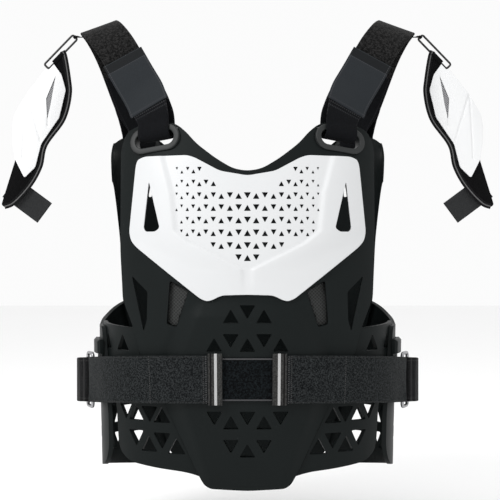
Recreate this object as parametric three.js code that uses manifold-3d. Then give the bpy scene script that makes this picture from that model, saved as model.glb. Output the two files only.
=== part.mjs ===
// A motocross roost deflector: a chest shell with a white pierced plate, a back shell, pierced side wings,
// two shoulder straps, a ringed belt and two arm guards that hang from wire rings.
// Millimetres, +Z up, the chest faces -Y. The origin lies midway between the undersides of the two
// shoulder straps, where they cross the shoulders.
import * as THREE from "three";
import { mergeVertices } from "three/addons/utils/BufferGeometryUtils.js";
import Module from "manifold-3d";

const wasm = await Module();
wasm.setup();

// Body form
const torsoHalfWidth = 165;
const frontDepth = 121;
const backDepth = 106;
const roundness = 2.4; // power of the oval section
const shellHeight = 404;
const shellHalfWidth = 145;
const backHalfWidth = 165;
const shellWall = 8;
const fitGap = 0.35; // between pieces that touch

// Front shell
const bellyRise = 4.5; // how far the belly panel stands out
const bellyBevel = 17; // width of its sloping edge
const ventSide = 17.3; // side of a triangular pocket
const ventPitch = 36;
const ventRow = 15.5;

// Chest plate
const plateWall = 2.6;
const ridgeRise = 3;
const ridgeSlope = 6;
const perforationSide = 6;
const perforationPitch = 9.4;
const perforationRow = 13.6;

// Wings
const wingWall = 4.5;
const wingHeight = 156;
const trussSide = 21;
const trussPitch = 33;
const trussRow = 17;

// Slots and rings of the shoulder straps
const strapWidth = 45;
const strapWall = 2.4;
const slotRingWall = 6.5;
const slotHeight = 17;
const slotRingDepth = 12;
const slotRim = 4; // moulding left above the slot ring
const frontSlotOut = 102;
const backSlotOut = 134;
const slotDrop = 140; // from the strap seat down to the middle of a slot
const slotRoll = 8; // degrees
const seatOut = 177; // strap's middle at the shoulder, from the centre plane
const seatTilt = 20; // degrees that the strap slopes down outwards
const frontFold = 106; // length of the fold that comes back up in front
const backFold = 62;
const tabLength = 75;
const tabWidth = 49;
const tabWall = 1.4;

// Belt
const beltDrop = 403.5;
const beltSink = 0.1; // fall of the belt for each millimetre towards the back
const beltWidth = 52;
const beltWall = 2.2;
const baseInset = 2.5; // how much narrower the plush base is at each edge
const beltBaseHalf = 62;
const flapInset = 27; // from the centre plane to a flap's free end
const pullTabLength = 15;
const pullTabWall = 1.6;
const beltRingWire = 4;
const beltRingHeight = 62;
const beltRingLength = 20;
const flapTurn = 72; // degrees round the body where a flap leaves it for its ring
const flapRun = 25; // free length from there to the ring's near bar
const flapReturn = 108; // from the centre plane to the end of the fold inside the flap
const beltReach = 203; // half the width of the loose rear strap
const keeperHeight = 16;
const keeperRise = 6.5;
const keeperWall = 2.2;

// Arm guards
const guardWire = 2.2;
const guardRingLength = 49;
const guardRingWidth = 7.5;
const guardRingSlope = 46; // degrees below the horizontal
const hangerWidth = 3;
const hangerWall = 0.9;
const strapSag = 1.1; // how far the strap's edge curves down over the hanger's width
const hangerReach = 5;
const hemLength = 16;
const hemWall = 2.1;
const guardLength = 200; // from the ring's upper end down to the tip
const guardReach = 90; // from there out to the tip
const guardWall = 2.2;
const guardBackingWall = 3.4;
const guardBow = 62; // radius of its bend round the arm
const armStrapWidth = 29;
const armStrapLength = 34; // free length past the guard's edge
const armStrapHidden = 18;
const armStrapWall = 2.2;

const slotRingWidth = strapWidth + 2 * slotRingWall + 2;
const slotRingHeight = slotHeight + 2 * slotRingWall;
const lobeDrop = slotDrop - slotRingHeight / 2 - slotRim; // down to the top of the lobes

const shellBlack = { color: 0x202224, roughness: 0.62, metalness: 0 };
const plateWhite = { color: 0xf2f3f4, roughness: 0.38, metalness: 0 };
const ringGrey = { color: 0x54575a, roughness: 0.5, metalness: 0 };
const webbingBlack = { color: 0x18191b, roughness: 0.9, metalness: 0 };
const tabGrey = { color: 0x3b3d42, roughness: 0.75, metalness: 0 };
const meshBlack = { color: 0x121314, roughness: 0.9, metalness: 0 };
const meshGrey = { color: 0x77797b, roughness: 0.85, metalness: 0 };
const steel = { color: 0xa9abad, roughness: 0.3, metalness: 1 };
const wireBlack = { color: 0x111111, roughness: 0.4, metalness: 0.6 };

const radians = THREE.MathUtils.degToRad;
const smooth = THREE.MathUtils.smoothstep;
const lerp = THREE.MathUtils.lerp;
const span = (count) => Array.from({ length: count + 1 }, (_, i) => i / count);
const vec = (x, y, z) => new THREE.Vector3(x, y, z);
const group = new THREE.Group();

// A named sub-part with its own material.
function add(parent, name, geometry, look) {
  const mesh = new THREE.Mesh(geometry, new THREE.MeshStandardMaterial(look));
  mesh.name = name;
  parent.add(mesh);
  return mesh;
}

// A closed geometry as a solid that can be joined and cut.
function solid(geometry) {
  const bare = geometry.clone();
  for (const name of Object.keys(bare.attributes)) {
    if (name !== "position") bare.deleteAttribute(name);
  }
  const merged = mergeVertices(bare, 1e-4);
  return new wasm.Manifold(
    new wasm.Mesh({
      numProp: 3,
      vertProperties: merged.attributes.position.array,
      triVerts: new Uint32Array(merged.index.array),
    }),
  );
}

function geometryOf(body) {
  const mesh = body.getMesh();
  const geometry = new THREE.BufferGeometry();
  geometry.setAttribute("position", new THREE.BufferAttribute(mesh.vertProperties, 3));
  geometry.setIndex(new THREE.BufferAttribute(mesh.triVerts, 1));
  return geometry;
}

// A value read from a table of rows along its first column, on one smooth curve.
function curveOf(rows, key, along = "down") {
  const curve = new THREE.CubicInterpolant(
    rows.map((row) => row[along]),
    rows.map((row) => row[key]),
    1,
  );
  return (at) => curve.evaluate(THREE.MathUtils.clamp(at, rows[0][along], rows.at(-1)[along]))[0];
}

// The same with straight stretches between the rows.
function lineOf(rows, key, along = "down") {
  const line = new THREE.LinearInterpolant(
    rows.map((row) => row[along]),
    rows.map((row) => row[key]),
    1,
  );
  return (at) => line.evaluate(THREE.MathUtils.clamp(at, rows[0][along], rows.at(-1)[along]))[0];
}

// Sections of the body: shares of the half width and the two depths, down the shell.
const bodyRows = [
  { down: 0, width: 0.96, front: 0.77, back: 0.86 },
  { down: 0.18, width: 0.98, front: 0.91, back: 0.96 },
  { down: 0.42, width: 1, front: 1, back: 1 },
  { down: 0.7, width: 0.995, front: 0.99, back: 0.98 },
  { down: 1, width: 0.98, front: 0.91, back: 0.93 },
];
const bodyWidth = curveOf(bodyRows, "width");
const bodyFront = curveOf(bodyRows, "front");
const bodyBack = curveOf(bodyRows, "back");
const shareAt = (z) => (-lobeDrop - z) / shellHeight;
const heightAt = (share) => -lobeDrop - share * shellHeight;

// A point of the body's oval section: turn runs round it in degrees from the chest, positive to +X.
function ovalPoint(turn, z) {
  const angle = radians(turn);
  const across = Math.sin(angle);
  const along = Math.cos(angle);
  const share = shareAt(z);
  const halfWidth = torsoHalfWidth * bodyWidth(share);
  const depth = along > 0 ? frontDepth * bodyFront(share) : backDepth * bodyBack(share);
  const size =
    (Math.abs(across) / halfWidth) ** roundness + (Math.abs(along) / depth) ** roundness;
  const radius = size ** (-1 / roundness);
  return vec(radius * across, -radius * along, z);
}

function outwardAt(turn, z) {
  const step = 0.5;
  const round = ovalPoint(turn + step, z).sub(ovalPoint(turn - step, z));
  const down = ovalPoint(turn, z - step).sub(ovalPoint(turn, z + step));
  return round.cross(down).normalize().negate();
}

const bodyPoint = (turn, z, offset) =>
  ovalPoint(turn, z).addScaledVector(outwardAt(turn, z), offset);

// The turn at which the body's surface, raised by offset, lies x from the centre plane.
function turnAt(x, z, offset = 0, back = false) {
  let [low, high] = back ? [180, 90] : [0, 90];
  for (let i = 0; i < 24; i++) {
    const middle = (low + high) / 2;
    if (bodyPoint(middle, z, offset).x < Math.abs(x)) low = middle;
    else high = middle;
  }
  return (Math.sign(x) || 1) * ((low + high) / 2);
}

// A closed wall between two surfaces given on the same grid: rows of inner and of outer points.
function wall(inner, outer) {
  const rows = inner.length;
  const columns = inner[0].length;
  const positions = [...inner.flat(), ...outer.flat()].flatMap((p) => [p.x, p.y, p.z]);
  const at = (side, row, column) => side * rows * columns + row * columns + column;
  const index = [];
  const quad = (a, b, c, d) => index.push(a, b, c, a, c, d);
  for (let row = 0; row < rows - 1; row++) {
    for (let column = 0; column < columns - 1; column++) {
      const corners = [[row, column], [row + 1, column], [row + 1, column + 1], [row, column + 1]];
      quad(...corners.map(([r, c]) => at(1, r, c)));
      const [a, b, c, d] = corners.map(([r, q]) => at(0, r, q));
      index.push(a, c, b, a, d, c);
    }
  }
  for (let row = 0; row < rows - 1; row++) {
    quad(at(0, row, 0), at(0, row + 1, 0), at(1, row + 1, 0), at(1, row, 0));
    const last = columns - 1;
    quad(at(1, row, last), at(1, row + 1, last), at(0, row + 1, last), at(0, row, last));
  }
  for (let column = 0; column < columns - 1; column++) {
    quad(at(1, 0, column), at(1, 0, column + 1), at(0, 0, column + 1), at(0, 0, column));
    const end = rows - 1;
    quad(at(0, end, column), at(0, end, column + 1), at(1, end, column + 1), at(1, end, column));
  }
  const geometry = new THREE.BufferGeometry();
  geometry.setAttribute("position", new THREE.Float32BufferAttribute(positions, 3));
  geometry.setIndex(index);
  return facingOut(geometry);
}

// Turns a closed geometry's faces round if they point inwards.
function facingOut(geometry) {
  const place = geometry.attributes.position;
  const index = geometry.index.array;
  const corner = (i) => new THREE.Vector3().fromBufferAttribute(place, index[i]);
  let volume = 0;
  for (let i = 0; i < index.length; i += 3) {
    volume += corner(i).dot(corner(i + 1).cross(corner(i + 2)));
  }
  if (volume < 0) geometry.setIndex([...index].reverse());
  return geometry;
}

// A plane figure pushed along a normal: points are [right, up] pairs from the origin, and it reaches
// back millimetres behind and front millimetres before the origin's plane.
function cutter(points, origin, right, up, back, front) {
  const shape = new THREE.Shape(points.map(([x, y]) => new THREE.Vector2(x, y)));
  const geometry = new THREE.ExtrudeGeometry(shape, { depth: back + front, bevelEnabled: false });
  const normal = right.clone().cross(up).normalize();
  geometry.translate(0, 0, -back);
  geometry.applyMatrix4(new THREE.Matrix4().makeBasis(right, up, normal).setPosition(origin));
  return solid(geometry);
}

// A plane figure in X and Z, pushed through the front (facing -1) or the back (facing 1) of the body.
function throughBody(points, facing) {
  const reach = 2 * (frontDepth + backDepth);
  const right = vec(-facing, 0, 0);
  return cutter(
    points.map(([x, z]) => [-facing * x, z]),
    vec(0, 0, 0),
    right,
    vec(0, 0, 1),
    0,
    reach,
  );
}

const mirrored = (points, side) => points.map(([x, z]) => [side * x, z]);

// A triangle about its middle, pointing up or down.
function triangle(side, pointing) {
  const height = (side * Math.sqrt(3)) / 2;
  return [
    [-side / 2, (-pointing * height) / 3],
    [side / 2, (-pointing * height) / 3],
    [0, (2 * pointing * height) / 3],
  ];
}

// A figure with half-round ends, width by height over all.
function stadium(width, height, steps = 6) {
  const radius = height / 2;
  const half = width / 2 - radius;
  return [1, -1].flatMap((end) =>
    span(steps).map((share) => {
      const angle = (end > 0 ? -0.5 : 0.5) * Math.PI + share * Math.PI;
      return [end * half + radius * Math.cos(angle), radius * Math.sin(angle)];
    }),
  );
}

// A row of shares on the front shell as millimetres.
const onShell = (rows) =>
  rows.map(({ across, down }) => [across * shellHalfWidth, heightAt(down)]);

// One half of the front shell's outline, from the middle of the neck to the middle of the bottom.
const frontOutline = [
  { across: 0, down: 0.134 },
  { across: 0.11, down: 0.127 },
  { across: 0.24, down: 0.099 },
  { across: 0.39, down: 0.057 },
  { across: 0.47, down: 0.024 },
  { across: 0.54, down: 0.003 },
  { across: 0.62, down: -0.006 },
  { across: 0.84, down: 0.002 },
  { across: 0.94, down: 0.018 },
  { across: 0.99, down: 0.06 },
  { across: 0.985, down: 0.35 },
  { across: 0.96, down: 0.486 },
  { across: 0.865, down: 0.57 },
];
const seamOutline = [
  { across: 0.815, down: 0.64 },
  { across: 0.62, down: 0.771 },
  { across: 0.47, down: 0.884 },
  { across: 0.375, down: 0.957 },
  { across: 0.33, down: 0.985 },
];
const bottomOutline = [
  { across: 0.285, down: 0.995 },
  { across: 0, down: 1 },
];

// Ridge round the plate's perforated field, as shares of the shell's half width.
const ridgeRows = [
  { down: 0.08, across: 0.68 },
  { down: 0.2, across: 0.59 },
  { down: 0.3, across: 0.56 },
  { down: 0.333, across: 0.45 },
  { down: 0.403, across: 0.06 },
  { down: 0.5, across: 0.06 },
];
const ridgeAt = lineOf(ridgeRows, "across");

// Edge of the belly panel, as shares of the shell's half width.
const bellyRows = [
  { down: 0, across: 0.3 },
  { down: 0.49, across: 0.31 },
  { down: 0.62, across: 0.46 },
  { down: 0.7, across: 0.5 },
  { down: 0.78, across: 0.44 },
  { down: 1, across: 0.24 },
];
const bellyEdge = lineOf(bellyRows, "across");
const plateFoot = 0.487; // share of the shell's height at the plate's lower tips

function bellyHeight(x, z) {
  const down = shareAt(z);
  const edge = bellyEdge(down) * shellHalfWidth;
  const fade = THREE.MathUtils.clamp((down - plateFoot) * (shellHeight / bellyBevel), 0, 1);
  const side = THREE.MathUtils.clamp(1 - (Math.abs(x) - edge) / bellyBevel, 0, 1);
  return bellyRise * fade * side;
}

// A wall that follows the body: for each height and column a turn, an inner and an outer offset.
function bodyWall(heights, turnsAt, innerAt, outerAt) {
  const layer = (offsetAt) =>
    heights.map((z) => turnsAt(z).map((turn) => bodyPoint(turn, z, offsetAt(turn, z))));
  return wall(layer(innerAt), layer(outerAt));
}

const bothWays = (turns) => [...turns.slice(1).map((turn) => -turn).reverse(), ...turns];

function shellHeights(rows, top = -0.03, bottom = 1.03) {
  return span(rows).map((share) => heightAt(lerp(top, bottom, share)));
}

const slotFrame = (facing, side) => {
  const out = facing < 0 ? frontSlotOut : backSlotOut;
  const z = -slotDrop;
  const turn = turnAt(side * out, z, shellWall / 2, facing > 0);
  const middle = bodyPoint(turn, z, shellWall / 2);
  const normal = outwardAt(turn, z);
  const level = vec(0, 0, 1).cross(normal).normalize();
  const roll = radians(slotRoll) * side * -facing;
  const right = level.clone().applyAxisAngle(normal, -roll);
  const up = normal.clone().cross(right).normalize();
  return { middle, normal, right, up };
};

const sides = [
  { name: "left", side: -1 },
  { name: "right", side: 1 },
];

const slotCut = (frame) =>
  cutter(
    stadium(slotRingWidth + 2 * fitGap, slotRingHeight + 2 * fitGap),
    frame.middle,
    frame.right,
    frame.up,
    3 * shellWall,
    3 * shellWall,
  );

// The long tapered slots, as shares of the front shell.
const teardrop = [
  { across: 0.752, down: 0.162 },
  { across: 0.79, down: 0.289 },
  { across: 0.775, down: 0.299 },
  { across: 0.7, down: 0.299 },
  { across: 0.665, down: 0.289 },
];
const dagger = [
  { across: 0.885, down: 0.42 },
  { across: 0.76, down: 0.463 },
  { across: 0.765, down: 0.54 },
  { across: 0.79, down: 0.572 },
];
const meshSlot = [
  { across: 0.585, down: 0.432 },
  { across: 0.44, down: 0.458 },
  { across: 0.535, down: 0.558 },
  { across: 0.61, down: 0.55 },
];

// Middles of the triangular pockets: columns and rows about two centres, up pointing or down pointing.
const ventGroups = [
  {
    down: 0.51,
    marks: [[0, 0, -1], [-1, 0.6, 1], [1, 0.6, 1], [-1, 2, -1], [1, 2, -1], [-2, 2.6, 1], [0, 2.6, 1], [2, 2.6, 1]],
  },
  {
    down: 0.796,
    marks: [[-2, 0, -1], [0, 0, -1], [2, 0, -1], [-1, 0.6, 1], [1, 0.6, 1], [-1, 2, -1], [1, 2, -1], [0, 2.6, 1]],
  },
];

function vents(facing, groups) {
  return groups.flatMap(({ down, marks }) =>
    marks.map(([column, row, pointing]) => {
      const x = (column * ventPitch) / 2;
      const z = heightAt(down) - row * ventRow;
      return throughBody(
        triangle(ventSide, pointing).map(([dx, dz]) => [x + dx, z + dz]),
        facing,
      );
    }),
  );
}

const cutAll = (body, tools) => tools.reduce((left, tool) => left.subtract(tool), body);

function halfToWhole(rows, scale) {
  const half = rows.map(({ across, down }) => [across * scale, heightAt(down)]);
  const other = half.filter(([x]) => x > 0).map(([x, z]) => [-x, z]);
  return [...half, ...other.reverse()];
}

// Rows and columns of facets, the same on the shell as on the plate that lies on it: they follow the
// plate's ridge above its foot, and the belly panel's edge below.
const chestRows = [0.06, 0.12, 0.2, 0.3, 0.333, 0.37, 0.403, 0.45, plateFoot];
const bellyRowShares = [plateFoot + bellyBevel / shellHeight, 0.62, 0.7, 0.78, 0.89, 1.03];
const chestReach = 74; // degrees round the body

function chestTurns(z) {
  const share = shareAt(z);
  const onPlate = share < plateFoot - 0.001;
  const edge = (onPlate ? ridgeAt(share) : bellyEdge(share)) * shellHalfWidth;
  const [near, far] = onPlate ? [edge - ridgeSlope, edge] : [edge, edge + bellyBevel];
  const [first, second] = [near, far].map((x) => turnAt(x, z, shellWall));
  const rest = span(4).slice(1).map((part) => lerp(second, chestReach, part));
  return bothWays([0, first / 2, first, second, ...rest]);
}

function frontShell() {
  const slab = solid(
    bodyWall(
      [-0.03, ...chestRows, ...bellyRowShares].map(heightAt),
      chestTurns,
      () => 0,
      (turn, z) => shellWall + bellyHeight(bodyPoint(turn, z, shellWall).x, z),
    ),
  );
  const outline = halfToWhole([...frontOutline, ...seamOutline, ...bottomOutline], shellHalfWidth);
  const slots = sides.flatMap(({ side }) => [
    slotCut(slotFrame(-1, side)),
    ...[teardrop, dagger, meshSlot].map((rows) => throughBody(mirrored(onShell(rows), side), -1)),
  ]);
  return cutAll(slab.intersect(throughBody(outline, -1)), [...slots, ...vents(-1, ventGroups)]);
}

// White chest plate
const plateOutline = [
  { across: 0, down: 0.147 },
  { across: 0.21, down: 0.134 },
  { across: 0.4, down: 0.097 },
  { across: 0.46, down: 0.09 },
  { across: 0.79, down: 0.092 },
  { across: 0.845, down: 0.1 },
  { across: 0.86, down: 0.116 },
  { across: 0.908, down: 0.3 },
  { across: 0.892, down: 0.324 },
  { across: 0.85, down: 0.341 },
  { across: 0.35, down: 0.481 },
  { across: 0.3, down: plateFoot },
  { across: 0.26, down: 0.483 },
  { across: 0.195, down: 0.471 },
  { across: 0, down: 0.469 },
];

// Columns of perforations to either side of the middle one, row by row down the plate.
const perforationReaches = [5, 5, 5, 5, 3, 1];

// The perforations: rows down the field, each pointing the other way in turn.
function perforations() {
  return perforationReaches.flatMap((reach, row) =>
    Array.from({ length: 2 * reach + 1 }, (_, i) => {
      const column = i - reach;
      const shrink = 1 - 0.05 * Math.abs(column);
      const pointing = (row + column) % 2 === 0 ? -1 : 1;
      const x = perforationPitch * column * (1 - 0.012 * Math.abs(column));
      const z = heightAt(0.203) - row * perforationRow;
      return throughBody(
        triangle(perforationSide * shrink, pointing).map(([dx, dz]) => [x + dx, z + dz]),
        -1,
      );
    }),
  );
}

const plateSeat = shellWall + fitGap;

function chestPlate() {
  const columnRise = [0, 0, 0, 1, 0.7, 0.4, 0.2, 0].map((share) => share * ridgeRise);
  const fade = (share) => 1 - smooth(share, 0.36, plateFoot);
  const layer = (outer) =>
    [...chestRows, plateFoot + bellyBevel / shellHeight].map((share) => {
      const z = heightAt(share);
      return chestTurns(z).map((turn, i, turns) => {
        const column = Math.abs(i - (turns.length - 1) / 2);
        const rise = outer ? plateWall + columnRise[column] * fade(share) : 0;
        return bodyPoint(turn, z, plateSeat + rise);
      });
    });
  const slab = solid(wall(layer(false), layer(true)));
  const outline = halfToWhole(plateOutline, shellHalfWidth);
  const slots = sides.map(({ side }) => throughBody(mirrored(onShell(teardrop), side), -1));
  return cutAll(slab.intersect(throughBody(outline, -1)), [...slots, ...perforations()]);
}

// Mesh behind an inner slot: a thin sheet inside the slot, near the shell's inner face.
function ventMesh(side) {
  const rows = meshSlot.map(({ across, down }) => [side * across * shellHalfWidth, heightAt(down)]);
  const middle = rows.reduce(([x, z], [px, pz]) => [x + px / 4, z + pz / 4], [0, 0]);
  const inset = rows.map(([x, z]) => {
    const away = Math.hypot(x - middle[0], z - middle[1]);
    const keep = 1 - (2 * fitGap) / away;
    return [middle[0] + (x - middle[0]) * keep, middle[1] + (z - middle[1]) * keep];
  });
  const turns = span(4).map((share) => side * lerp(18, 48, share));
  const sheet = bodyWall(
    shellHeights(3, 0.4, 0.6),
    () => (side > 0 ? turns : [...turns].reverse()),
    () => 0.6,
    () => 1.8,
  );
  return solid(sheet).intersect(throughBody(inset, -1));
}

// Wings: walls round the sides, cut to an outline in a plane that faces them
const rimDrop = 0.565; // share of the shell's height at the wings' upper rim
const rimLift = 24; // how much higher the rim lies at the back
const wingTilt = 55; // degrees round the body that the front wings' outline faces
const wingStep = 8; // degrees round the body of one facet, the same on both layers

// A figure in a plane that faces the given turn: points are [round the body, height].
function throughSide(points, turn, side) {
  const angle = radians(turn) * side;
  const right = vec(Math.cos(angle), Math.sin(angle), 0);
  const figure = points.map(([along, z]) => [side * along, z]);
  return cutter(figure, vec(0, 0, 0), right, vec(0, 0, 1), 0, 2 * torsoHalfWidth);
}

// Triangles of the truss, cut square to the wall, in rows below the given height.
function trussCuts(side, { from, to, top, rows, slope, offset }) {
  return rows.flatMap(({ row, pointing, shift }) => {
    const cuts = [];
    const z0 = top - row * trussRow;
    const start = bodyPoint(side * from, z0, offset);
    for (let step = 0, turn = from; turn < to && step < 40; step++) {
      const z = z0 + slope * (turn - from);
      const middle = bodyPoint(side * turn, z, offset);
      const here = start.distanceTo(middle);
      const next = (cuts.length + shift) * trussPitch;
      if (here >= next) {
        const normal = outwardAt(side * turn, z);
        const right = vec(0, 0, 1).cross(normal).normalize();
        const up = normal.clone().cross(right);
        const shape = triangle(trussSide, pointing);
        cuts.push(cutter(shape, middle, right, up, 3 * wingWall, 3 * wingWall));
      }
      turn += 2;
    }
    return cuts;
  });
}

const seamFigure = (rows, scale, side, gap, far) => {
  const edge = rows.map(({ across, down }) => [across * scale + gap, heightAt(down)]);
  const [first, last] = [edge[0], edge.at(-1)];
  const closed = [[0, first[1] + far], [first[0] + 0.25 * far, first[1] + far], ...edge,
    [last[0] - 0.25 * far, last[1] - far], [0, last[1] - far]];
  return closed.map(([x, z]) => [side * x, z]);
};

function frontWing(side) {
  const turns = span(9).map((share) => side * lerp(2 * wingStep, 11 * wingStep, share));
  const slab = bodyWall(
    shellHeights(3, 0.54, 1.01),
    () => (side > 0 ? turns : [...turns].reverse()),
    () => 0,
    () => wingWall,
  );
  const rim = heightAt(rimDrop);
  const foot = rim - wingHeight;
  const outline = [
    [-90, rim - 2], [0, rim + 1], [90, rim + 5], [92, rim - 26], [62, rim - 42], [31, rim - 78],
    [28, rim - 92], [27, foot + 29], [24, foot + 18], [16, foot + 11], [6, foot + 6],
    [-24, foot + 2], [-50, foot - 1], [-62, foot - 5], [-76, foot - 17], [-90, foot - 20],
  ];
  const truss = [
    { from: 60, to: 80, top: rim - 19, slope: 0, offset: wingWall / 2, rows: [{ row: 0, pointing: 1, shift: 0 }] },
    {
      from: 42, to: 62, top: rim - 92, slope: 0.1, offset: wingWall / 2,
      rows: [{ row: 0, pointing: -1, shift: 0.45 }, { row: 0.3, pointing: 1, shift: 0 }],
    },
    {
      from: 36, to: 60, top: rim - 121, slope: 0.1, offset: wingWall / 2,
      rows: [{ row: 0, pointing: -1, shift: 0.5 }, { row: 0.6, pointing: 1, shift: 0 }],
    },
  ];
  const seam = throughBody(
    seamFigure([...frontOutline.slice(-2), ...seamOutline], shellHalfWidth, side, fitGap, 40),
    -1,
  );
  return cutAll(
    solid(slab).intersect(throughSide(outline, wingTilt, side)),
    [seam, ...truss.flatMap((rows) => trussCuts(side, rows))],
  );
}

// Back shell
const backOutline = [
  { across: 0, down: 0.15 },
  { across: 0.2, down: 0.14 },
  { across: 0.4, down: 0.1 },
  { across: 0.58, down: 0.045 },
  { across: 0.66, down: 0.012 },
  { across: 0.74, down: 0.004 },
  { across: 0.9, down: 0.007 },
  { across: 0.945, down: 0.02 },
  { across: 0.972, down: 0.04 },
  { across: 0.985, down: 0.07 },
  { across: 0.982, down: 0.12 },
  { across: 0.945, down: 0.32 },
  { across: 0.93, down: 0.5 },
];
const backSeam = [
  { across: 0.9, down: 0.56 },
  { across: 0.82, down: 0.68 },
  { across: 0.68, down: 0.85 },
  { across: 0.6, down: 0.97 },
];
const backFoot = [
  { across: 0.52, down: 1.01 },
  { across: 0, down: 1.02 },
];
const backSlot = [
  { across: 0.72, down: 0.135 },
  { across: 0.8, down: 0.18 },
  { across: 0.79, down: 0.195 },
  { across: 0.68, down: 0.195 },
  { across: 0.67, down: 0.18 },
];

function backShell() {
  const turns = span(8).map((share) => lerp(80, 180, share));
  const round = [...turns, ...turns.slice(0, -1).reverse().map((turn) => 360 - turn)];
  const slab = solid(
    bodyWall(shellHeights(7, -0.03, 1.06), () => round, () => 0, () => shellWall),
  );
  const outline = halfToWhole([...backOutline, ...backSeam, ...backFoot], backHalfWidth);
  const slots = sides.flatMap(({ side }) => [
    slotCut(slotFrame(1, side)),
    throughBody(
      backSlot.map(({ across, down }) => [side * across * backHalfWidth, heightAt(down)]),
      1,
    ),
  ]);
  return cutAll(slab.intersect(throughBody(outline, 1)), [...slots, ...vents(1, ventGroups.slice(0, 1))]);
}

const backWingSeat = wingWall + fitGap;

function backWing(side) {
  const turns = span(10).map((share) => side * lerp(8 * wingStep, 18 * wingStep, share));
  const slab = bodyWall(
    shellHeights(3, 0.48, 1.03),
    () => (side > 0 ? turns : [...turns].reverse()),
    () => backWingSeat,
    () => backWingSeat + wingWall,
  );
  const rim = heightAt(rimDrop) + 4;
  const foot = rim - wingHeight;
  const outline = [
    [-48, rim], [-10, rim], [30, rim + 0.4 * rimLift], [64, rim + rimLift], [130, rim + 2 * rimLift],
    [130, foot - 34], [75, foot - 22], [0, foot - 10], [-42, foot - 4], [-53, foot + 4], [-60, foot + 18],
    [-62, rim - 100], [-58, rim - 60],
  ];
  const truss = [
    {
      from: 80, to: 112, top: rim - 18, slope: 0.25, offset: backWingSeat + wingWall / 2,
      rows: [{ row: 0, pointing: 1, shift: 0 }],
    },
    {
      from: 84, to: 122, top: rim - 104, slope: -0.2, offset: backWingSeat + wingWall / 2,
      rows: [{ row: 0, pointing: -1, shift: 0.5 }, { row: 0.5, pointing: 1, shift: 0 }],
    },
    {
      from: 84, to: 124, top: rim - 136, slope: -0.2, offset: backWingSeat + wingWall / 2,
      rows: [{ row: 0, pointing: -1, shift: 0 }, { row: 0.5, pointing: 1, shift: 0.5 }],
    },
  ];
  const seam = throughBody(
    seamFigure([backOutline.at(-1), ...backSeam], backHalfWidth, side, fitGap, 40),
    1,
  );
  return cutAll(
    solid(slab).intersect(throughSide(outline, 90, side)),
    [seam, ...truss.flatMap((rows) => trussCuts(side, rows))],
  );
}

// A ring that lines a strap slot.
function slotRing(facing, side) {
  const frame = slotFrame(facing, side);
  const outer = stadium(slotRingWidth, slotRingHeight);
  const inner = stadium(slotRingWidth - 2 * slotRingWall, slotHeight);
  const shape = new THREE.Shape(outer.map(([x, y]) => new THREE.Vector2(x, y)));
  shape.holes.push(new THREE.Path(inner.map(([x, y]) => new THREE.Vector2(x, y))));
  const geometry = new THREE.ExtrudeGeometry(shape, { depth: slotRingDepth, bevelEnabled: false });
  geometry.translate(0, 0, -slotRingDepth / 2);
  geometry.applyMatrix4(
    new THREE.Matrix4().makeBasis(frame.right, frame.up, frame.normal).setPosition(frame.middle),
  );
  return geometry;
}

// A flat band along stations, each with a middle, a direction across and a direction out of its face.
function band(stations, width, thickness) {
  const corners = stations.map(({ p, across, out, narrow = 1 }) =>
    [[-1, -1], [1, -1], [1, 1], [-1, 1]].map(([a, b]) =>
      p
        .clone()
        .addScaledVector(across, (a * narrow * width) / 2)
        .addScaledVector(out, (b * thickness) / 2),
    ),
  );
  const index = [];
  for (let i = 0; i < corners.length - 1; i++) {
    for (let k = 0; k < 4; k++) {
      const [a, b] = [4 * i + k, 4 * i + ((k + 1) % 4)];
      if (k === 0) index.push(a, b, a + 4, b, b + 4, a + 4);
      else index.push(a, b, b + 4, a, b + 4, a + 4);
    }
  }
  const last = 4 * (corners.length - 1);
  index.push(0, 2, 1, 0, 3, 2, last, last + 1, last + 2, last, last + 2, last + 3);
  const geometry = new THREE.BufferGeometry();
  const positions = corners.flat().flatMap((p) => [p.x, p.y, p.z]);
  geometry.setAttribute("position", new THREE.Float32BufferAttribute(positions, 3));
  geometry.setIndex(index);
  return facingOut(geometry);
}

// Turns each station's face square to the run of the band.
const faced = (stations) =>
  stations.map((station, i, list) => {
    const ahead = list[Math.min(i + 1, list.length - 1)].p.clone().sub(list[Math.max(i - 1, 0)].p);
    return { ...station, out: station.across.clone().cross(ahead).normalize() };
  });

// Stations along a curve through points, turned so that the band lies across the given direction.
function alongCurve(points, acrossAt, count) {
  const curve = new THREE.CatmullRomCurve3(points, false, "centripetal");
  return span(count).map((share) => {
    const p = curve.getPointAt(share);
    const ahead = curve.getTangentAt(share);
    const across = acrossAt(share);
    across.addScaledVector(ahead, -across.dot(ahead)).normalize();
    return { p, across, out: across.clone().cross(ahead).normalize(), share };
  });
}

// Shoulder strap: up behind the front slot's rim, over the shoulder, down to the back slot, with a
// fold through each slot that lies back on the strap.
const foldRadius = slotRingDepth / 2 + 3 * fitGap + strapWall / 2;
const foldRise = slotRingWall + slotRim + 8; // straight stretch beside the moulding
const foldClose = 46; // stretch in which a fold comes back to the strap
const slotSqueeze = 0.16; // share of its width that the strap loses in a slot
const strapRoute = [
  { out: 0.34, along: 0.87, down: 0.62 },
  { out: 0.7, along: 0.63, down: 0.22 },
  { out: 0.91, along: 0.36, down: 0.05 },
];

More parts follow.
